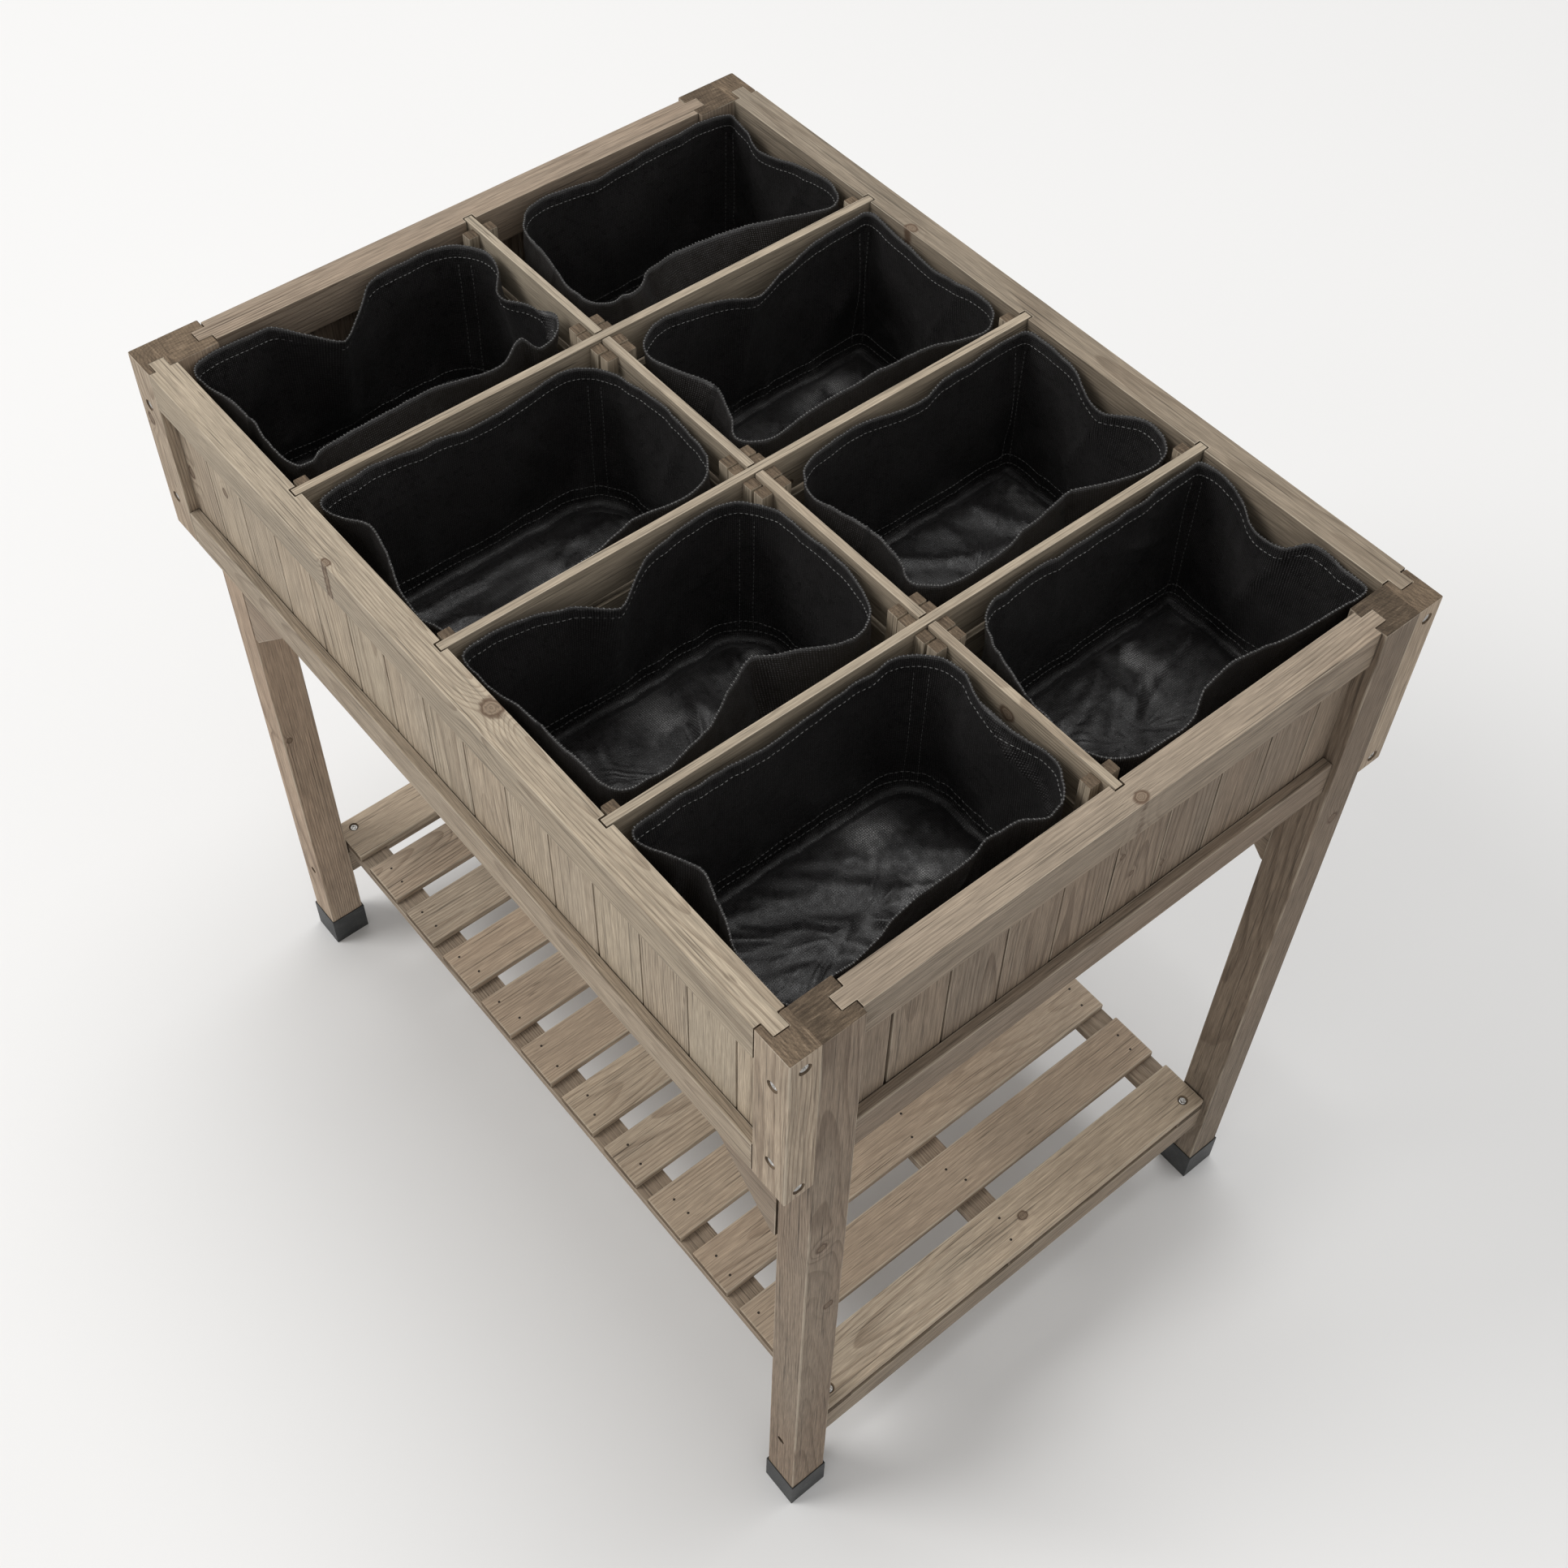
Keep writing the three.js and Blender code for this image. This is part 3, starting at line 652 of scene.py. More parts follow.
# plank walls: separate planks side by side, with one open seam
PLANK_PITCH = 49.3 * MM
FIRST_PLANK = {"front": 44 * MM, "back": 44 * MM, "left": 35.5 * MM, "right": 35.5 * MM}
SEAM = 1.4 * MM
# painted light and shade per side: the front wall's colour is lighter, the back and right walls
# darker, for how the light falls; walls along y are also painted warmer for the redder shade
WALL_PAINTED_LIGHT_AND_SHADE = {"front": 1.08, "back": 0.88, "left": 0.94, "right": 0.83}
PLANK_KNOTS = {("right", 5): [(0.727, 0.008, 2.2 * MM), (0.695, 0.023, 1.8 * MM)],
               ("right", 6): [(0.697, 0.040, 2.0 * MM), (0.676, 0.057, 2.0 * MM)]}
OPEN_SEAM = {"right": 2.0 * MM, "left": 0.5 * MM, "front": 0.4 * MM, "back": 0.6 * MM}
for side in ("front", "right", "back", "left"):
    node = "wall_" + side
    low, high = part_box(node)
    run = X if side in ("front", "back") else Y
    across = Y if run == X else X
    forward = side in ("front", "right")
    seams = [FIRST_PLANK[side] + k * PLANK_PITCH for k in range(20)]
    length = high[run] - low[run]
    stops = [0.0] + [s for s in seams if s < length - 3 * MM] + [length]
    piece = wooden(node)
    for k, (a, b) in enumerate(zip(stops, stops[1:])):
        a += (OPEN_SEAM[side] if k == 1 else SEAM / 2) if k else 0
        b -= SEAM / 2 if b < length else 0
        if not forward:
            a, b = length - b, length - a
        first, last = low.copy(), high.copy()
        first[run], last[run] = low[run] + a, low[run] + b
        sunk_in = chance.uniform(0, 0.35) * MM
        if SIDES[side] > 0:
            last[across] -= sunk_in
        else:
            first[across] += sunk_in
        member(piece, block(first, last), Z, run, 0.7 * MM, WALL_PAINTED_LIGHT_AND_SHADE[side],
               PLANK_KNOTS.get((side, k), ()), warm=0.3 if run == X else 1.0)
    done(piece, node)

# box floor: boards on two laths
DECK_CROSS = (-184 * MM, 0.0, 184 * MM)
DECK_WIDE, DECK_GAP = 60 * MM, 12 * MM
LATH, LATH_HALF, LATH_Y = 6 * MM, 15 * MM, (-100 * MM, 100 * MM)
low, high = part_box("floor_deck")
piece = wooden("floor_deck")
stops = [low.x - DECK_GAP]
for x in DECK_CROSS:
    stops += [x - DECK_WIDE / 2, x + DECK_WIDE / 2]
stops.append(high.x + DECK_GAP)
spans = [(stops[i], stops[i + 1]) for i in (1, 3, 5)]
for i in range(0, len(stops), 2):
    pitch = (stops[i + 1] - stops[i] - DECK_GAP) / 2
    for k in range(2):
        start = stops[i] + DECK_GAP + k * pitch
        spans.append((start, start + pitch - DECK_GAP))
for a, b in spans:
    member(piece, slab(a, b, low.y, high.y, low.z + LATH, high.z), Y, X, 1.0 * MM, 0.90, warm=0.5)
for y in LATH_Y:
    member(piece, slab(low.x, high.x, y - LATH_HALF, y + LATH_HALF, low.z, low.z + LATH),
           X, Y, 0.8 * MM, 0.88)
done(piece, "floor_deck")

# dividers: three rows of boards and their upright battens
BOARD_ROWS = ((762, 800), (716, 754), (670, 708))
HALF_BOARD, BATTEN, BATTEN_TOP = 3.5 * MM, 10 * MM, 797 * MM
SLOT_HALF = 4.5 * MM
END_BATTEN = (263 * MM, 253 * MM)
BATTEN_INSET, WALL_BATTEN_INSET = 10.5 * MM, 11.5 * MM  # from the end of a long divider
deck_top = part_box("floor_deck")[1].z


def batten(piece, x0, x1, y0, y1):
    shape = slab(min(x0, x1), max(x0, x1), min(y0, y1), max(y0, y1), deck_top, BATTEN_TOP)
    member(piece, shape, Z, X, 0.8 * MM, 1.04, warm=0.2)


for k, x in enumerate(DECK_CROSS):
    node = f"cross_divider_{k + 1}"
    low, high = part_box(node)
    piece = wooden(node)
    for bottom, top in BOARD_ROWS:
        member(piece, slab(x - HALF_BOARD, x + HALF_BOARD, low.y, high.y, bottom * MM, top * MM),
               Y, Z, 0.7 * MM, 0.94, warm=0.18)
    for face in (-1, 1):
        for sy in (-1, 1):
            batten(piece, x + face * HALF_BOARD, x + face * (HALF_BOARD + BATTEN),
                   sy * SLOT_HALF, sy * (SLOT_HALF + BATTEN))
    for sy in (-1, 1):
        batten(piece, x - HALF_BOARD, x - HALF_BOARD - BATTEN, *(sy * y for y in END_BATTEN))
    done(piece, node)

for k in range(4):
    node = f"long_divider_{k + 1}"
    low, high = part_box(node)
    left_batten = low.x + (BATTEN_INSET if k else WALL_BATTEN_INSET)
    right_batten = high.x - (BATTEN_INSET if k < 3 else WALL_BATTEN_INSET)
    piece = wooden(node)
    for bottom, top in BOARD_ROWS:
        member(piece, slab(low.x, high.x, -HALF_BOARD, HALF_BOARD, bottom * MM, top * MM),
               X, Z, 0.7 * MM, 0.94, warm=0.18)
    for face in (-1, 1):
        for a, b in ((left_batten, left_batten + BATTEN), (right_batten - BATTEN, right_batten)):
            batten(piece, a, b, face * HALF_BOARD, face * (HALF_BOARD + BATTEN))
    done(piece, node)

# shelf: end rails, bearers and slats nailed to them
BEARER_Y, BEARER_HALF = (-214 * MM, 0.0, 214 * MM), 15.5 * MM
END_RAIL_TOP, END_RAIL_THICK = 127 * MM, 24 * MM
low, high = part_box("shelf_frame")
piece = wooden("shelf_frame")
for a, b in ((low.x, low.x + END_RAIL_THICK), (high.x - END_RAIL_THICK, high.x)):
    member(piece, slab(a, b, low.y, high.y, low.z, END_RAIL_TOP), Y, Z, 1.0 * MM, 0.92, warm=0.7)
for y in BEARER_Y:
    member(piece, slab(low.x, high.x, y - BEARER_HALF, y + BEARER_HALF, END_RAIL_TOP, high.z),
           X, Y, 1.0 * MM, 0.92, warm=0.7)
done(piece, "shelf_frame")

NAIL_SINK = (1.25 * MM, 0.8 * MM, 1.15 * MM)
SLAT_KNOTS = {1: [(-0.175, -0.316, 3.4 * MM)], 3: [(-0.205, -0.19, 3.2 * MM)],
              12: [(0.02, 0.36, 3.6 * MM)]}
for k in range(1, 13):
    node = f"shelf_slat_{k:02d}"
    low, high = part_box(node)
    holes = []
    end = k in (1, 12)
    for y in BEARER_Y:
        if end and y:
            x = (low.x + high.x) / 2 + (12 * MM if k == 12 else -12 * MM)
            holes.append(sunk((x, y, high.z), (0, 0, 1)))
            continue
        for share in (0.27, 0.73):
            at = Vector((low.x + share * (high.x - low.x) + chance.uniform(-3, 3) * MM,
                         y + chance.uniform(-6, 6) * MM, high.z))
            nails.append((at, Vector((0, 0, 1))))
            holes.append((at, (0, 0, 1), *NAIL_SINK))
    piece = wooden(node)
    member(piece, block(low, high), Y, X, 1.6 * MM, 1.26, SLAT_KNOTS.get(k, ()), holes, 0.6)
    done(piece, node)


# ---------- screws and nails ----------
def disc(rings, segments, centre, normal, dip):
    """A round head: rings are (radius, height), dip(radius, angle) lowers the recess."""
    bm = bmesh.new()
    turned = normal.to_track_quat("Z", "Y").to_matrix()
    rows = []
    for radius, height in rings:
        row = []
        for k in range(segments):
            a = 2 * math.pi * k / segments
            local = Vector((radius * math.cos(a), radius * math.sin(a),
                            height - dip(radius, a)))
            row.append(bm.verts.new(centre + turned @ local))
        rows.append(row)
    for inner, outer in zip(rows, rows[1:]):
        for k in range(segments):
            n = (k + 1) % segments
            bm.faces.new((inner[k], outer[k], outer[n], inner[n]))
    bm.faces.new(rows[0])
    bm.faces.new(list(reversed(rows[-1])))
    return bm


def cross_recess(radius, angle):
    arm = min(abs(radius * math.sin(angle)), abs(radius * math.cos(angle)))
    return 0.9 * MM if arm < 0.62 * MM and radius < 2.3 * MM else 0.0


SCREW_RINGS = [(0.35 * MM, 0), (0.9 * MM, 0), (1.5 * MM, 0), (2.1 * MM, 0), (2.45 * MM, 0),
               (3.2 * MM, -0.05 * MM), (3.5 * MM, -0.25 * MM), (3.3 * MM, -0.7 * MM),
               (2.2 * MM, -1.5 * MM)]
NAIL_RINGS = [(0.35 * MM, -0.12 * MM), (0.8 * MM, 0), (1.1 * MM, 0), (1.2 * MM, -0.1 * MM),
              (1.1 * MM, -0.4 * MM)]
SCREW_DEPTH, NAIL_DEPTH = 1.0 * MM, 0.35 * MM  # heads lie this far under the wood's face
heads = Piece("screw_heads", [SCREW])
for centre, normal in screws:
    spin = chance.uniform(0, math.pi / 2)
    heads.take(disc(SCREW_RINGS, 32, centre - normal * SCREW_DEPTH, normal,
                    lambda r, a: cross_recess(r, a + spin)))
heads.make("frame")
dots = Piece("nail_heads", [NAIL])
for centre, normal in nails:
    dots.take(disc(NAIL_RINGS, 12, centre - normal * NAIL_DEPTH, normal, lambda r, a: 0.0))
dots.make("frame")

# ---------- foot caps ----------
for fb, lr in CORNERS:
    cap = NODES[f"foot_cap_{fb}_{lr}"]
    cap.data.materials.clear()
    cap.data.materials.append(PLASTIC)
    weld = cap.modifiers.new("weld", "WELD")
    weld.merge_threshold = 1e-5
    bevel = cap.modifiers.new("moulded_edge", "BEVEL")
    bevel.width, bevel.segments, bevel.limit_method = 0.45 * MM, 2, "ANGLE"
    bevel.angle_limit = math.radians(40)

# ---------- fabric liners ----------
SAMPLES, WALL_ROWS, FLOOR_RINGS = 184, 34, 16
BATTEN_CORNER, END_BATTEN_CORNER, OPEN_CORNER = 44 * MM, 31 * MM, 10 * MM
REACH, LEG_REACH = 2.5 * MM, 0.5 * MM  # how far the cloth lies outside its solid's walls
HEM = 12 * MM
CLOTH_THICK, HEM_THICK = 0.8 * MM, 1.3 * MM
FLOOR_PLAY = 0.3 * MM  # cloth above the boards
OVER_CLOTH = 0.1 * MM  # stitches stand out this far
THREAD_WIDE = 0.5 * MM
HEM_STITCH, FLOOR_STITCH = (4.2 * MM, 2.6 * MM), (4.2 * MM, 3.0 * MM)  # pitch and length
FLOOR_SEAM_ROWS = (7.0, 4.4)
OVERLOCK_PITCH, UPRIGHT_PITCH = 3.1 * MM, 4.6 * MM

# Where each rim leaves the pocket wall, by side: place along it (world x or y), how far the rim
# leans in, and how far it drops. Millimetres.
RIMS = {
    "liner_back_1": {
        "front": [(-345, 14, 2), (-312, 21, 4), (-280, 15, 2), (-245, 9, 3)],
        "right": [(38, 26, 4), (60, 28, 5), (90, 47, 9), (115, 53, 10), (165, 44, 8),
                  (215, 18, 2), (245, 4, 0)],
        "back": [(-225, 0, -1), (-260, 2, 3), (-305, 11, 10), (-330, 5, 5)],
        "left": [(235, 0, 0), (160, 2, 0), (115, 5, 2), (60, 2, 0)]},
    "liner_front_1": {
        "front": [(-335, 2, 5), (-290, 9, 2), (-245, 5, 3), (-210, 8, 4)],
        "right": [(-232, 24, 4), (-180, 30, 5), (-130, 32, 6), (-75, 17, 3), (-52, 27, -5),
                  (-38, 15, 3)],
        "back": [(-228, 2, 0), (-255, 12, 4), (-280, 23, 6), (-305, 6, 0), (-340, 1, -1)],
        "left": [(-60, 0, 0), (-100, 2, 2), (-128, 24, 8), (-150, 38, 11), (-168, 20, 7),
                 (-190, 0, 0), (-235, 0, 0)]},
    "liner_back_2": {
        "front": [(-155, 5, 3), (-120, 22, 5), (-90, 33, 7), (-62, 18, 4), (-38, 4, 5)],
        "right": [(60, 17, 3), (120, 20, 3), (190, 17, 2), (230, 3, 4)],
        "back": [(-50, 2, -1), (-90, 6, 3), (-130, 2, 0)],
        "left": [(225, 0, 0), (165, 10, 3), (130, 20, 7), (95, 9, 3), (55, 0, 0)]},
    "liner_front_2": {
        "front": [(-160, 4, 6), (-132, 19, 4), (-105, 14, 3), (-60, 2, 7), (-25, 0, 9)],
        "right": [(-230, 0, 9), (-150, 1, 6), (-95, 9, 3), (-60, 4, 2)],
        "back": [(-45, 4, -1), (-95, 1, -1), (-140, 5, 1)],
        "left": [(-50, 2, 0), (-120, 7, 3), (-165, 4, 1), (-225, 0, 0)]},
    "liner_back_3": {
        "front": [(45, 10, 3), (90, 25, 5), (125, 20, 4), (150, 8, 4)],
        "right": [(55, 10, 4), (90, 11, 3), (135, 21, 5), (172, 25, 6), (205, 7, 3), (235, 2, 5)],
        "back": [(140, 0, 0), (100, 14, 8), (60, 2, 0)],
        "left": [(225, 0, 0), (180, 2, 1), (145, 7, 3), (80, 0, 0)]},
    "liner_front_3": {
        "front": [(35, 1, 7), (75, 6, 3), (115, 8, 3), (150, 10, 4)],
        "right": [(-215, 5, 4), (-165, 18, 4), (-132, 40, 9), (-108, 51, 11), (-82, 38, 8),
                  (-50, 14, 3)],
        "back": [(140, 6, -1), (110, 0, -2), (60, 2, 0)],
        "left": [(-60, 0, 0), (-110, 8, 4), (-147, 28, 9), (-180, 10, 4), (-230, 0, 0)]},
    "liner_back_4": {
        "front": [(205, 14, 3), (235, 12, 3), (275, 2, 6), (320, 0, 8)],
        "right": [(50, 0, 9), (85, 2, 8), (105, 12, 4), (145, 18, 4), (190, 8, 3), (235, 1, 0)],
        "back": [(330, 0, 0), (300, 2, -3), (285, 12, 5), (262, 15, 9), (238, 5, 3),
                 (215, 1, -3)],
        "left": [(225, 0, -1), (150, 2, 1), (100, 1, 0), (50, 3, 0)]},
    "liner_front_4": {
        "front": [(205, 3, 6), (228, 13, 4), (248, 21, 5), (280, 8, 4), (305, 0, 9),
                  (335, 0, 10)],
        "right": [(-240, 0, 10), (-205, 1, 9), (-160, 9, 4), (-110, 11, 3), (-70, 12, 2),
                  (-45, 3, 5)],
        "back": [(325, 2, 1), (285, 9, 3), (250, 8, 1), (230, 0, -2)],
        "left": [(-50, 1, -1), (-110, 3, 1), (-150, 4, 2), (-225, 0, 1)]},
}
# Long creases pressed into the walls: side, start (place, height share), end, depth in.
CREASES = {
    "liner_front_4": [("back", 262, 0.97, "right", -60, 0.45, 7), ("right", -95, 0.95, "right",
                      -150, 0.2, 4)],
    "liner_back_4": [("back", 285, 0.95, "back", 250, 0.25, 5)],
    "liner_front_1": [("back", -245, 1.0, "right", -55, 0.55, 12), ("left", -150, 1.0, "left",
                      -140, 0.1, 6)],
    "liner_front_3": [("right", -105, 1.0, "right", -120, 0.15, 7), ("left", -147, 1.0, "left",
                      -140, 0.2, 5)],
    "liner_back_1": [("right", 75, 0.95, "right", 105, 0.1, 7), ("back", -250, 0.9, "back",
                     -300, 0.2, 4)],
    "liner_back_2": [("left", 130, 1.0, "left", 120, 0.2, 4), ("back", -60, 0.9, "back", -110,
                     0.2, 4)],
    "liner_back_3": [("right", 172, 1.0, "right", 150, 0.2, 5), ("back", 110, 0.95, "back", 70,
                     0.3, 4)],
    "liner_front_2": [("right", -95, 0.95, "right", -60, 0.15, 5), ("back", -70, 0.9, "back",
                      -110, 0.2, 3)],
}

# Painted highlights on the floor of each pocket, pale patches in the cloth's colour: x, y, reach
# along x, reach along y, strength.
PAINTED_HIGHLIGHTS = {
    "liner_front_4": [(246, -72, 52, 20, 1.7), (300, -120, 22, 40, 0.8)],
    "liner_front_3": [(32, -38, 16, 30, 1.5), (60, -125, 34, 22, 0.9)],
    "liner_front_2": [(-150, -28, 28, 12, 1.4), (-120, -90, 16, 30, 0.6)],
    "liner_front_1": [(-322, -34, 18, 16, 0.9)],
    "liner_back_4": [(225, 188, 32, 16, 1.1), (217, 248, 10, 18, 0.9)],
    "liner_back_3": [(36, 246, 24, 10, 1.3), (92, 244, 20, 10, 0.9)],
    "liner_back_2": [(-150, 205, 12, 26, 1.0)],
    "liner_back_1": [(-330, 236, 16, 12, 0.8)],
}


def rounded_outline(low, high, radii, count):
    """Points round a rounded rectangle, anticlockwise from the middle of the front side: position,
    inward normal, side and length along the outline. radii start at the front right corner."""
    x0, y0, x1, y1 = low.x, low.y, high.x, high.y
    middle = (x0 + x1) / 2
    corners = [(x1, y0), (x1, y1), (x0, y1), (x0, y0)]
    names = ["front", "right", "back", "left", "front"]
    starts, straight = [Vector((middle, y0))], []
    for leg in range(4):
        heading = leg * math.pi / 2
        along = Vector((math.cos(heading), math.sin(heading)))
        across = Vector((-along.y, along.x))
        corner, r = Vector(corners[leg]), radii[leg]
        straight.append((corner - along * r - starts[-1]).dot(along))
        starts.append(corner + across * r)
    straight.append(middle - starts[-1].x)
    total = sum(straight) + sum(radii) * math.pi / 2
    points = []
    for k in range(count):
        s = total * k / count
        rest = s
        for leg in range(5):
            heading = leg * math.pi / 2
            along = Vector((math.cos(heading), math.sin(heading)))
            inward = Vector((-along.y, along.x))
            if rest <= straight[leg]:
                points.append((starts[leg] + along * rest, inward, names[leg], s))
                break
            rest -= straight[leg]
            arc = radii[leg] * math.pi / 2 if leg < 4 else 0.0
            if rest <= arc:
                angle = rest / radii[leg]
                centre = starts[leg] + along * straight[leg] + inward * radii[leg]
                facing = heading - math.pi / 2 + angle
                spoke = Vector((math.cos(facing), math.sin(facing)))
                side = names[leg] if angle < math.pi / 4 else names[leg + 1]
                points.append((centre + spoke * radii[leg], -spoke, side, s))
                break
            rest -= arc
    return points, total


def nearest(points, side, place):
    """Index of the outline point of that side closest to that world x or y."""
    axis = 0 if side in ("front", "back") else 1
    return min((k for k, p in enumerate(points) if p[2] == side),
               key=lambda k: abs(points[k][0][axis] - place))


def round_spline(keys, count):
    """Values at every index of a closed line from (index, value) keys, as a smooth curve."""
    keys = sorted(keys)
    n = len(keys)
    knots = [(keys[i % n][0] + count * (i // n), keys[i % n][1]) for i in range(-2, n + 3)]
    values = [0.0] * count
    for i in range(1, len(knots) - 2):
        (xa, ya), (x0, y0), (x1, y1), (xb, yb) = knots[i - 1:i + 3]
        if x1 == x0:
            continue
        m0, m1 = (y1 - ya) / (x1 - xa), (yb - y0) / (xb - x0)
        for x in range(x0, x1):
            t, span = (x - x0) / (x1 - x0), x1 - x0
            values[x % count] = ((2 * t**3 - 3 * t**2 + 1) * y0 + (t**3 - 2 * t**2 + t) * span * m0
                                 + (3 * t**2 - 2 * t**3) * y1 + (t**3 - t**2) * span * m1)
    return values


def crumple(p, scale, seed):
    """Sharp-crested wrinkles from 0 to about 1."""
    value = noise.noise(p * scale + seed)
    second = noise.noise(p * scale * 2.3 + seed * 1.7)
    return max(0.0, 1 - 3.2 * abs(value)) * 0.7 + max(0.0, 1 - 3.5 * abs(second)) * 0.3


def stitch(bm, start, end, up, width):
    """One stitch: a small arched strip of thread from start to end."""
    along = end - start
    across = along.cross(up).normalized() * width / 2
    rows = []
    for t, rise in ((0.0, 0.15), (0.3, 0.9), (0.7, 0.9), (1.0, 0.15)):
        centre = start + along * t
        rows.append([bm.verts.new(centre + across), bm.verts.new(centre + up * width * rise),
                     bm.verts.new(centre - across), bm.verts.new(centre - up * width * 0.4)])
    for a, b in zip(rows, rows[1:]):
        for k in range(4):
            n = (k + 1) % 4
            bm.faces.new((a[k], a[n], b[n], b[k]))
    bm.faces.new(list(reversed(rows[0])))
    bm.faces.new(rows[-1])


def make_liner(node, number):
    low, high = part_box(node)
    left_end, right_end = node.endswith("1"), node.endswith("4")
    low -= Vector((LEG_REACH if left_end else REACH, REACH, 0))
    high += Vector((LEG_REACH if right_end else REACH, REACH, 0))
    outer_right = OPEN_CORNER if right_end else END_BATTEN_CORNER
    if "back" in node:
        radii = [BATTEN_CORNER, outer_right, OPEN_CORNER, BATTEN_CORNER]
    else:
        radii = [outer_right, BATTEN_CORNER, BATTEN_CORNER, OPEN_CORNER]
    points, total = rounded_outline(low, high, radii, SAMPLES)
    lean_keys, drop_keys = [], []
    for side, keys in RIMS[node].items():
        for place, lean, drop in keys:
            k = nearest(points, side, place * MM)
            lean_keys.append((k, lean * MM))
            drop_keys.append((k, drop * MM))
    leans = [max(0.0, v + 0.4 * MM) for v in round_spline(lean_keys, SAMPLES)]
    drops = round_spline(drop_keys, SAMPLES)
    seed = Vector((7.3 * number, 3.1 * number, 1.7))
    floor_z = low.z + FLOOR_PLAY
    rim_z = high.z
    height = rim_z - floor_z
    creases = []
    for side_a, place_a, t_a, side_b, place_b, t_b, depth in CREASES[node]:
        creases.append((nearest(points, side_a, place_a * MM) * total / SAMPLES, t_a * height,
                        nearest(points, side_b, place_b * MM) * total / SAMPLES, t_b * height,
                        depth * MM))
    draw = random.Random(100 + number)
    for _ in range(9):
        s = draw.uniform(0, total)
        t = draw.uniform(0.15, 0.95) * height
        creases.append((s, t, s + draw.uniform(-70, 70) * MM,
                        t - draw.uniform(25, 80) * MM, draw.uniform(1.2, 3.2) * MM))

    def crease_at(s, z):
        push = 0.0
        for s0, z0, s1, z1, depth in creases:
            for shift in (-total, 0, total):
                ax, az, bx, bz = s0 + shift, z0, s1 + shift, z1
                dx, dz = bx - ax, bz - az
                size = math.hypot(dx, dz)
                t = ((s - ax) * dx + (z - az) * dz) / size**2
                if -0.15 < t < 1.15:
                    off = ((s - ax) * dz - (z - az) * dx) / size
                    fade = min(1.0, (t + 0.15) / 0.4, (1.15 - t) / 0.4)
                    side = 5 * MM if off > 0 else 9 * MM
                    push += depth * fade * math.exp(-abs(off) / side * 1.2)
        return push

    verts, cloth, grid = [], [], []
    fillet = 7 * MM
    rows = [(-1.0 + 0.25 * j) for j in range(4)] + [j / WALL_ROWS for j in range(WALL_ROWS + 1)]
    for t in rows:
        ring = []
        for k, (base, inward, _, s) in enumerate(points):
            if t < 0:  # the turned edge between wall and floor
                angle = (t + 1) * math.pi / 2
                push = fillet * (1 - math.sin(angle))
                z = floor_z + fillet * (1 - math.cos(angle))
                reach = 0.0
            else:
                reach = t
                top = height - drops[k] - fillet
                z = floor_z + fillet + top * t
                push = 0.0
            belly = math.sin(math.pi * min(1.0, reach)) if reach > 0 else 0.0
            push += (leans[k] * 0.9 + 2.6 * MM * crumple(Vector((s, 0, 0)), 17, seed)) * reach**1.5
            wave = max(0.0, 0.35 + noise.noise(Vector(((s + z * 0.6) * 11, z * 5, 0)) + seed))
            push += 9.0 * MM * belly * wave
            push += crease_at(s, z - floor_z) * min(1.0, max(0.0, reach) * 4 + 0.1)
            fine = crumple(Vector((s, z * 0.7, 0)), 24, seed)
            push += 2.2 * MM * fine * (1.05 - 0.75 * reach)
            push += 0.6 * MM * crumple(Vector((s, z, 0)), 70, seed)
            z += 1.4 * MM * reach * noise.noise(Vector((s * 22, 3, 0)) + seed)
            x, y = base + inward * push
            ring.append(len(verts))
            verts.append(Vector((x, y, z)))
            # the cloth attribute's third value is painted highlight: pale colour on wrinkle
            # crests, strongest near the floor
            bottom = max(0.0, 1 - reach * 2.5)
            cloth.append((s + 3.0 * number, z, 0.02 + (0.03 + 0.22 * fine**2) * bottom))
        grid.append(ring)
    faces = []
    for a, b in zip(grid, grid[1:]):
        for k in range(SAMPLES):
            n = (k + 1) % SAMPLES
            faces.append((a[k], a[n], b[n], b[k]))
    middle = Vector(((low.x + high.x) / 2, (low.y + high.y) / 2))
    stretch = (high.y - low.y - (high.x - low.x)) / 2
    previous = grid[0]
    lie = Vector((math.cos(1.3 * number), math.sin(1.3 * number)))
    for j in range(1, FLOOR_RINGS + 1):
        share = 1 - j / (FLOOR_RINGS + 1)
        ring = []
        for k in range(SAMPLES):
            edge = verts[grid[0][k]].to_2d()
            spine = Vector((middle.x, middle.y + max(-stretch, min(stretch, edge.y - middle.y))
                            * (0.25 + 0.75 * share)))
            at = spine + (edge - spine) * share
            here = Vector((at.x, at.y, 0))
            slanted = Vector((here.x * lie.x + here.y * lie.y,
                              (here.y * lie.x - here.x * lie.y) * 3.2, 0))
            crest = crumple(slanted, 9, seed)
            lift = 6.5 * MM * crest**1.6 + 0.9 * MM * crumple(slanted, 22, seed)
            patch = max(0.0, noise.noise(slanted * 9 + seed) + 0.05)**1.2
            lift *= min(1.0, (1 - share) * 6)
            ring.append(len(verts))
            verts.append(Vector((at.x, at.y, floor_z + lift)))
            # painted highlights on the floor: a noise patch plus the listed patches, kept as the
            # cloth attribute's third value
            floor_highlight = 0.01 + 0.16 * patch
            for x, y, reach_x, reach_y, strength in PAINTED_HIGHLIGHTS[node]:
                off = math.hypot((at.x - x * MM) / reach_x, (at.y - y * MM) / reach_y) / MM
                floor_highlight += 0.8 * strength * math.exp(-off**2)
            cloth.append((at.x + 5.0 * number, at.y + 2.0, floor_highlight))
        for k in range(SAMPLES):
            n = (k + 1) % SAMPLES
            faces.append((ring[k], ring[n], previous[n], previous[k]))
        previous = ring
    faces.append(list(reversed(previous)))

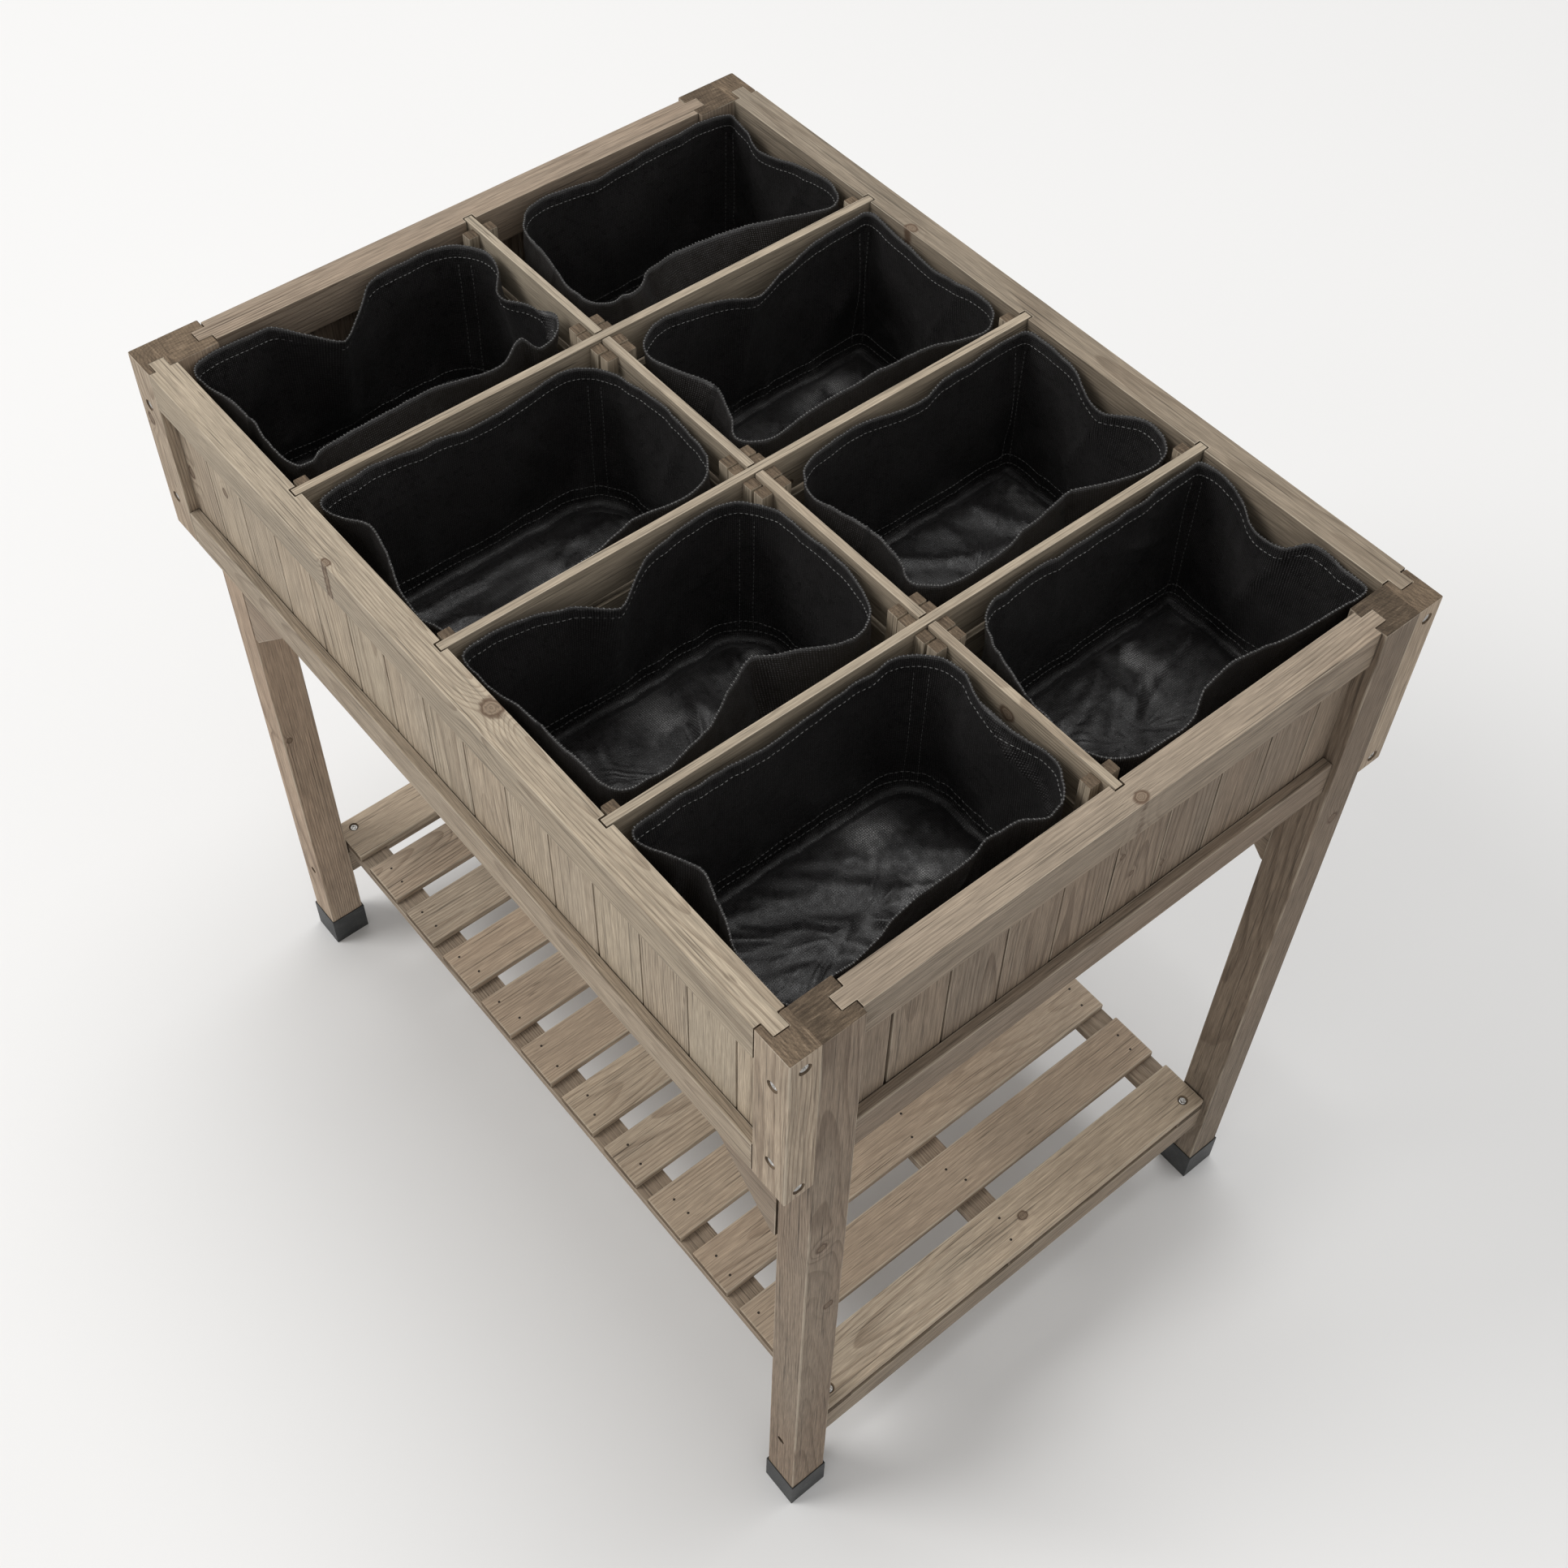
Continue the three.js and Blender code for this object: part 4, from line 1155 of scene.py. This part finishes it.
    mesh = bpy.data.meshes.new(node + "_fabric")
    mesh.from_pydata(verts, [], faces)
    mesh.materials.append(FABRIC)
    mesh.polygons.foreach_set("use_smooth", [True] * len(faces))
    layer = mesh.attributes.new("cloth", "FLOAT_VECTOR", "POINT")
    layer.data.foreach_set("vector", [n for row in cloth for n in row])
    made = bpy.data.objects.new(node + "_fabric", mesh)
    scene.collection.objects.link(made)
    hem = made.vertex_groups.new(name="hem")
    rows_from_top = max(1, round(HEM / (height / WALL_ROWS)))
    hem.add([i for ring in grid[-1 - rows_from_top:] for i in ring], 1.0, "REPLACE")
    thick = made.modifiers.new("cloth_thickness", "SOLIDIFY")
    thick.thickness, thick.offset = HEM_THICK, -1.0
    thick.vertex_group, thick.thickness_vertex_group = "hem", CLOTH_THICK / HEM_THICK
    thick.use_even_offset = False
    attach(made, body_of(node))
    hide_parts(node)

    # stitching: over the edge, under the hem, in two rows round the floor and up two corners
    bm = bmesh.new()

    def surface(row, k):
        low_row = int(math.floor(row))
        part = row - low_row
        high_row = min(low_row + 1, len(grid) - 1)
        low_k = int(math.floor(k)) % SAMPLES
        next_k = (low_k + 1) % SAMPLES
        side = k - math.floor(k)
        a = verts[grid[low_row][low_k]].lerp(verts[grid[low_row][next_k]], side)
        b = verts[grid[high_row][low_k]].lerp(verts[grid[high_row][next_k]], side)
        inward = points[low_k][1].lerp(points[next_k][1], side)
        return a.lerp(b, part), Vector((inward.x, inward.y, 0)).normalized()

    per_sample = total / SAMPLES
    last = len(grid) - 1

    def seam(row, pitch, length, depth):
        count = int(total / pitch)
        for i in range(count):
            k0 = i * pitch / per_sample
            k1 = k0 + length / per_sample
            a, inward = surface(row, k0)
            b, _ = surface(row, k1)
            stitch(bm, a + inward * depth, b + inward * depth, inward, THREAD_WIDE)

    hem_row = last - rows_from_top
    seam(hem_row + 0.35, *HEM_STITCH, HEM_THICK + OVER_CLOTH)
    for row in FLOOR_SEAM_ROWS:
        seam(row, *FLOOR_STITCH, CLOTH_THICK + OVER_CLOTH)
    # the overlock passes over the rim
    for i in range(int(total / OVERLOCK_PITCH)):
        top, inward = surface(last, i * OVERLOCK_PITCH / per_sample)
        lift = Vector((0, 0, 0.08 * MM))
        stitch(bm, top - inward * 0.25 * MM + lift, top + inward * 1.35 * MM + lift,
               Vector((0, 0, 1)), THREAD_WIDE)
    # upright seams at two corners
    for side, place in (("left", high.y), ("right", low.y)):
        k = nearest(points, side, place)
        for step in (-1.3, 1.3):
            for i in range(int(height * 0.86 / UPRIGHT_PITCH)):
                row = 5 + i * UPRIGHT_PITCH / height * WALL_ROWS
                a, inward = surface(row, k + step)
                b, _ = surface(min(last, row + 0.6), k + step)
                depth = CLOTH_THICK + OVER_CLOTH
                stitch(bm, a + inward * depth, b + inward * depth, inward, 0.45 * MM)
    threads = Piece(node + "_stitching", [THREAD])
    threads.take(bm)
    sewn = threads.make(body_of(node))
    sewn.modifiers.clear()


for number, node in enumerate(sorted(RIMS)):
    make_liner(node, number + 1)


# ---------- floor, light and tone ----------
def make_floor():
    g = Graph("studio_floor")
    at = g.add("ShaderNodeTexCoord").outputs["Object"]
    cloud = g.noise(at, 0.9, 2.0)
    colour = g.mix(cloud, (0.725, 0.725, 0.725), (0.75, 0.75, 0.75))
    return g.finish(Base_Color=colour, Roughness=0.9, Specular_IOR_Level=0.1)


floor_mesh = bpy.data.meshes.new("studio_floor")
FLOOR_HALF = 14
floor_corners = [(x * FLOOR_HALF, y * FLOOR_HALF, 0)
                 for x, y in ((-1, -1), (1, -1), (1, 1), (-1, 1))]
floor_mesh.from_pydata(floor_corners, [], [(0, 1, 2, 3)])
floor_mesh.materials.append(make_floor())
floor = bpy.data.objects.new("studio_floor", floor_mesh)
scene.collection.objects.link(floor)

world = bpy.data.worlds.new("studio")
world.use_nodes = True
world.node_tree.nodes["Background"].inputs[0].default_value = (1.0, 0.99, 0.975, 1)
world.node_tree.nodes["Background"].inputs[1].default_value = 0.63
scene.world = world


def softbox(name, at, aim, size, power, tint=(1, 1, 1)):
    light = bpy.data.lights.new(name, "AREA")
    light.shape, light.size, light.energy, light.color = "DISK", size, power, tint
    made = bpy.data.objects.new(name, light)
    scene.collection.objects.link(made)
    made.location = at
    made.rotation_euler = (Vector(aim) - Vector(at)).to_track_quat("-Z", "Y").to_euler()


softbox("key", (-3.9, -5.6, 6.9), (0, 0, 0.4), 4.2, 400, (1, 0.99, 0.975))
softbox("overhead", (-0.6, 1.2, 7.2), (0, 0.2, 0.2), 4.0, 200)

scene.view_settings.view_transform = "Standard"

bpy.context.view_layer.update()
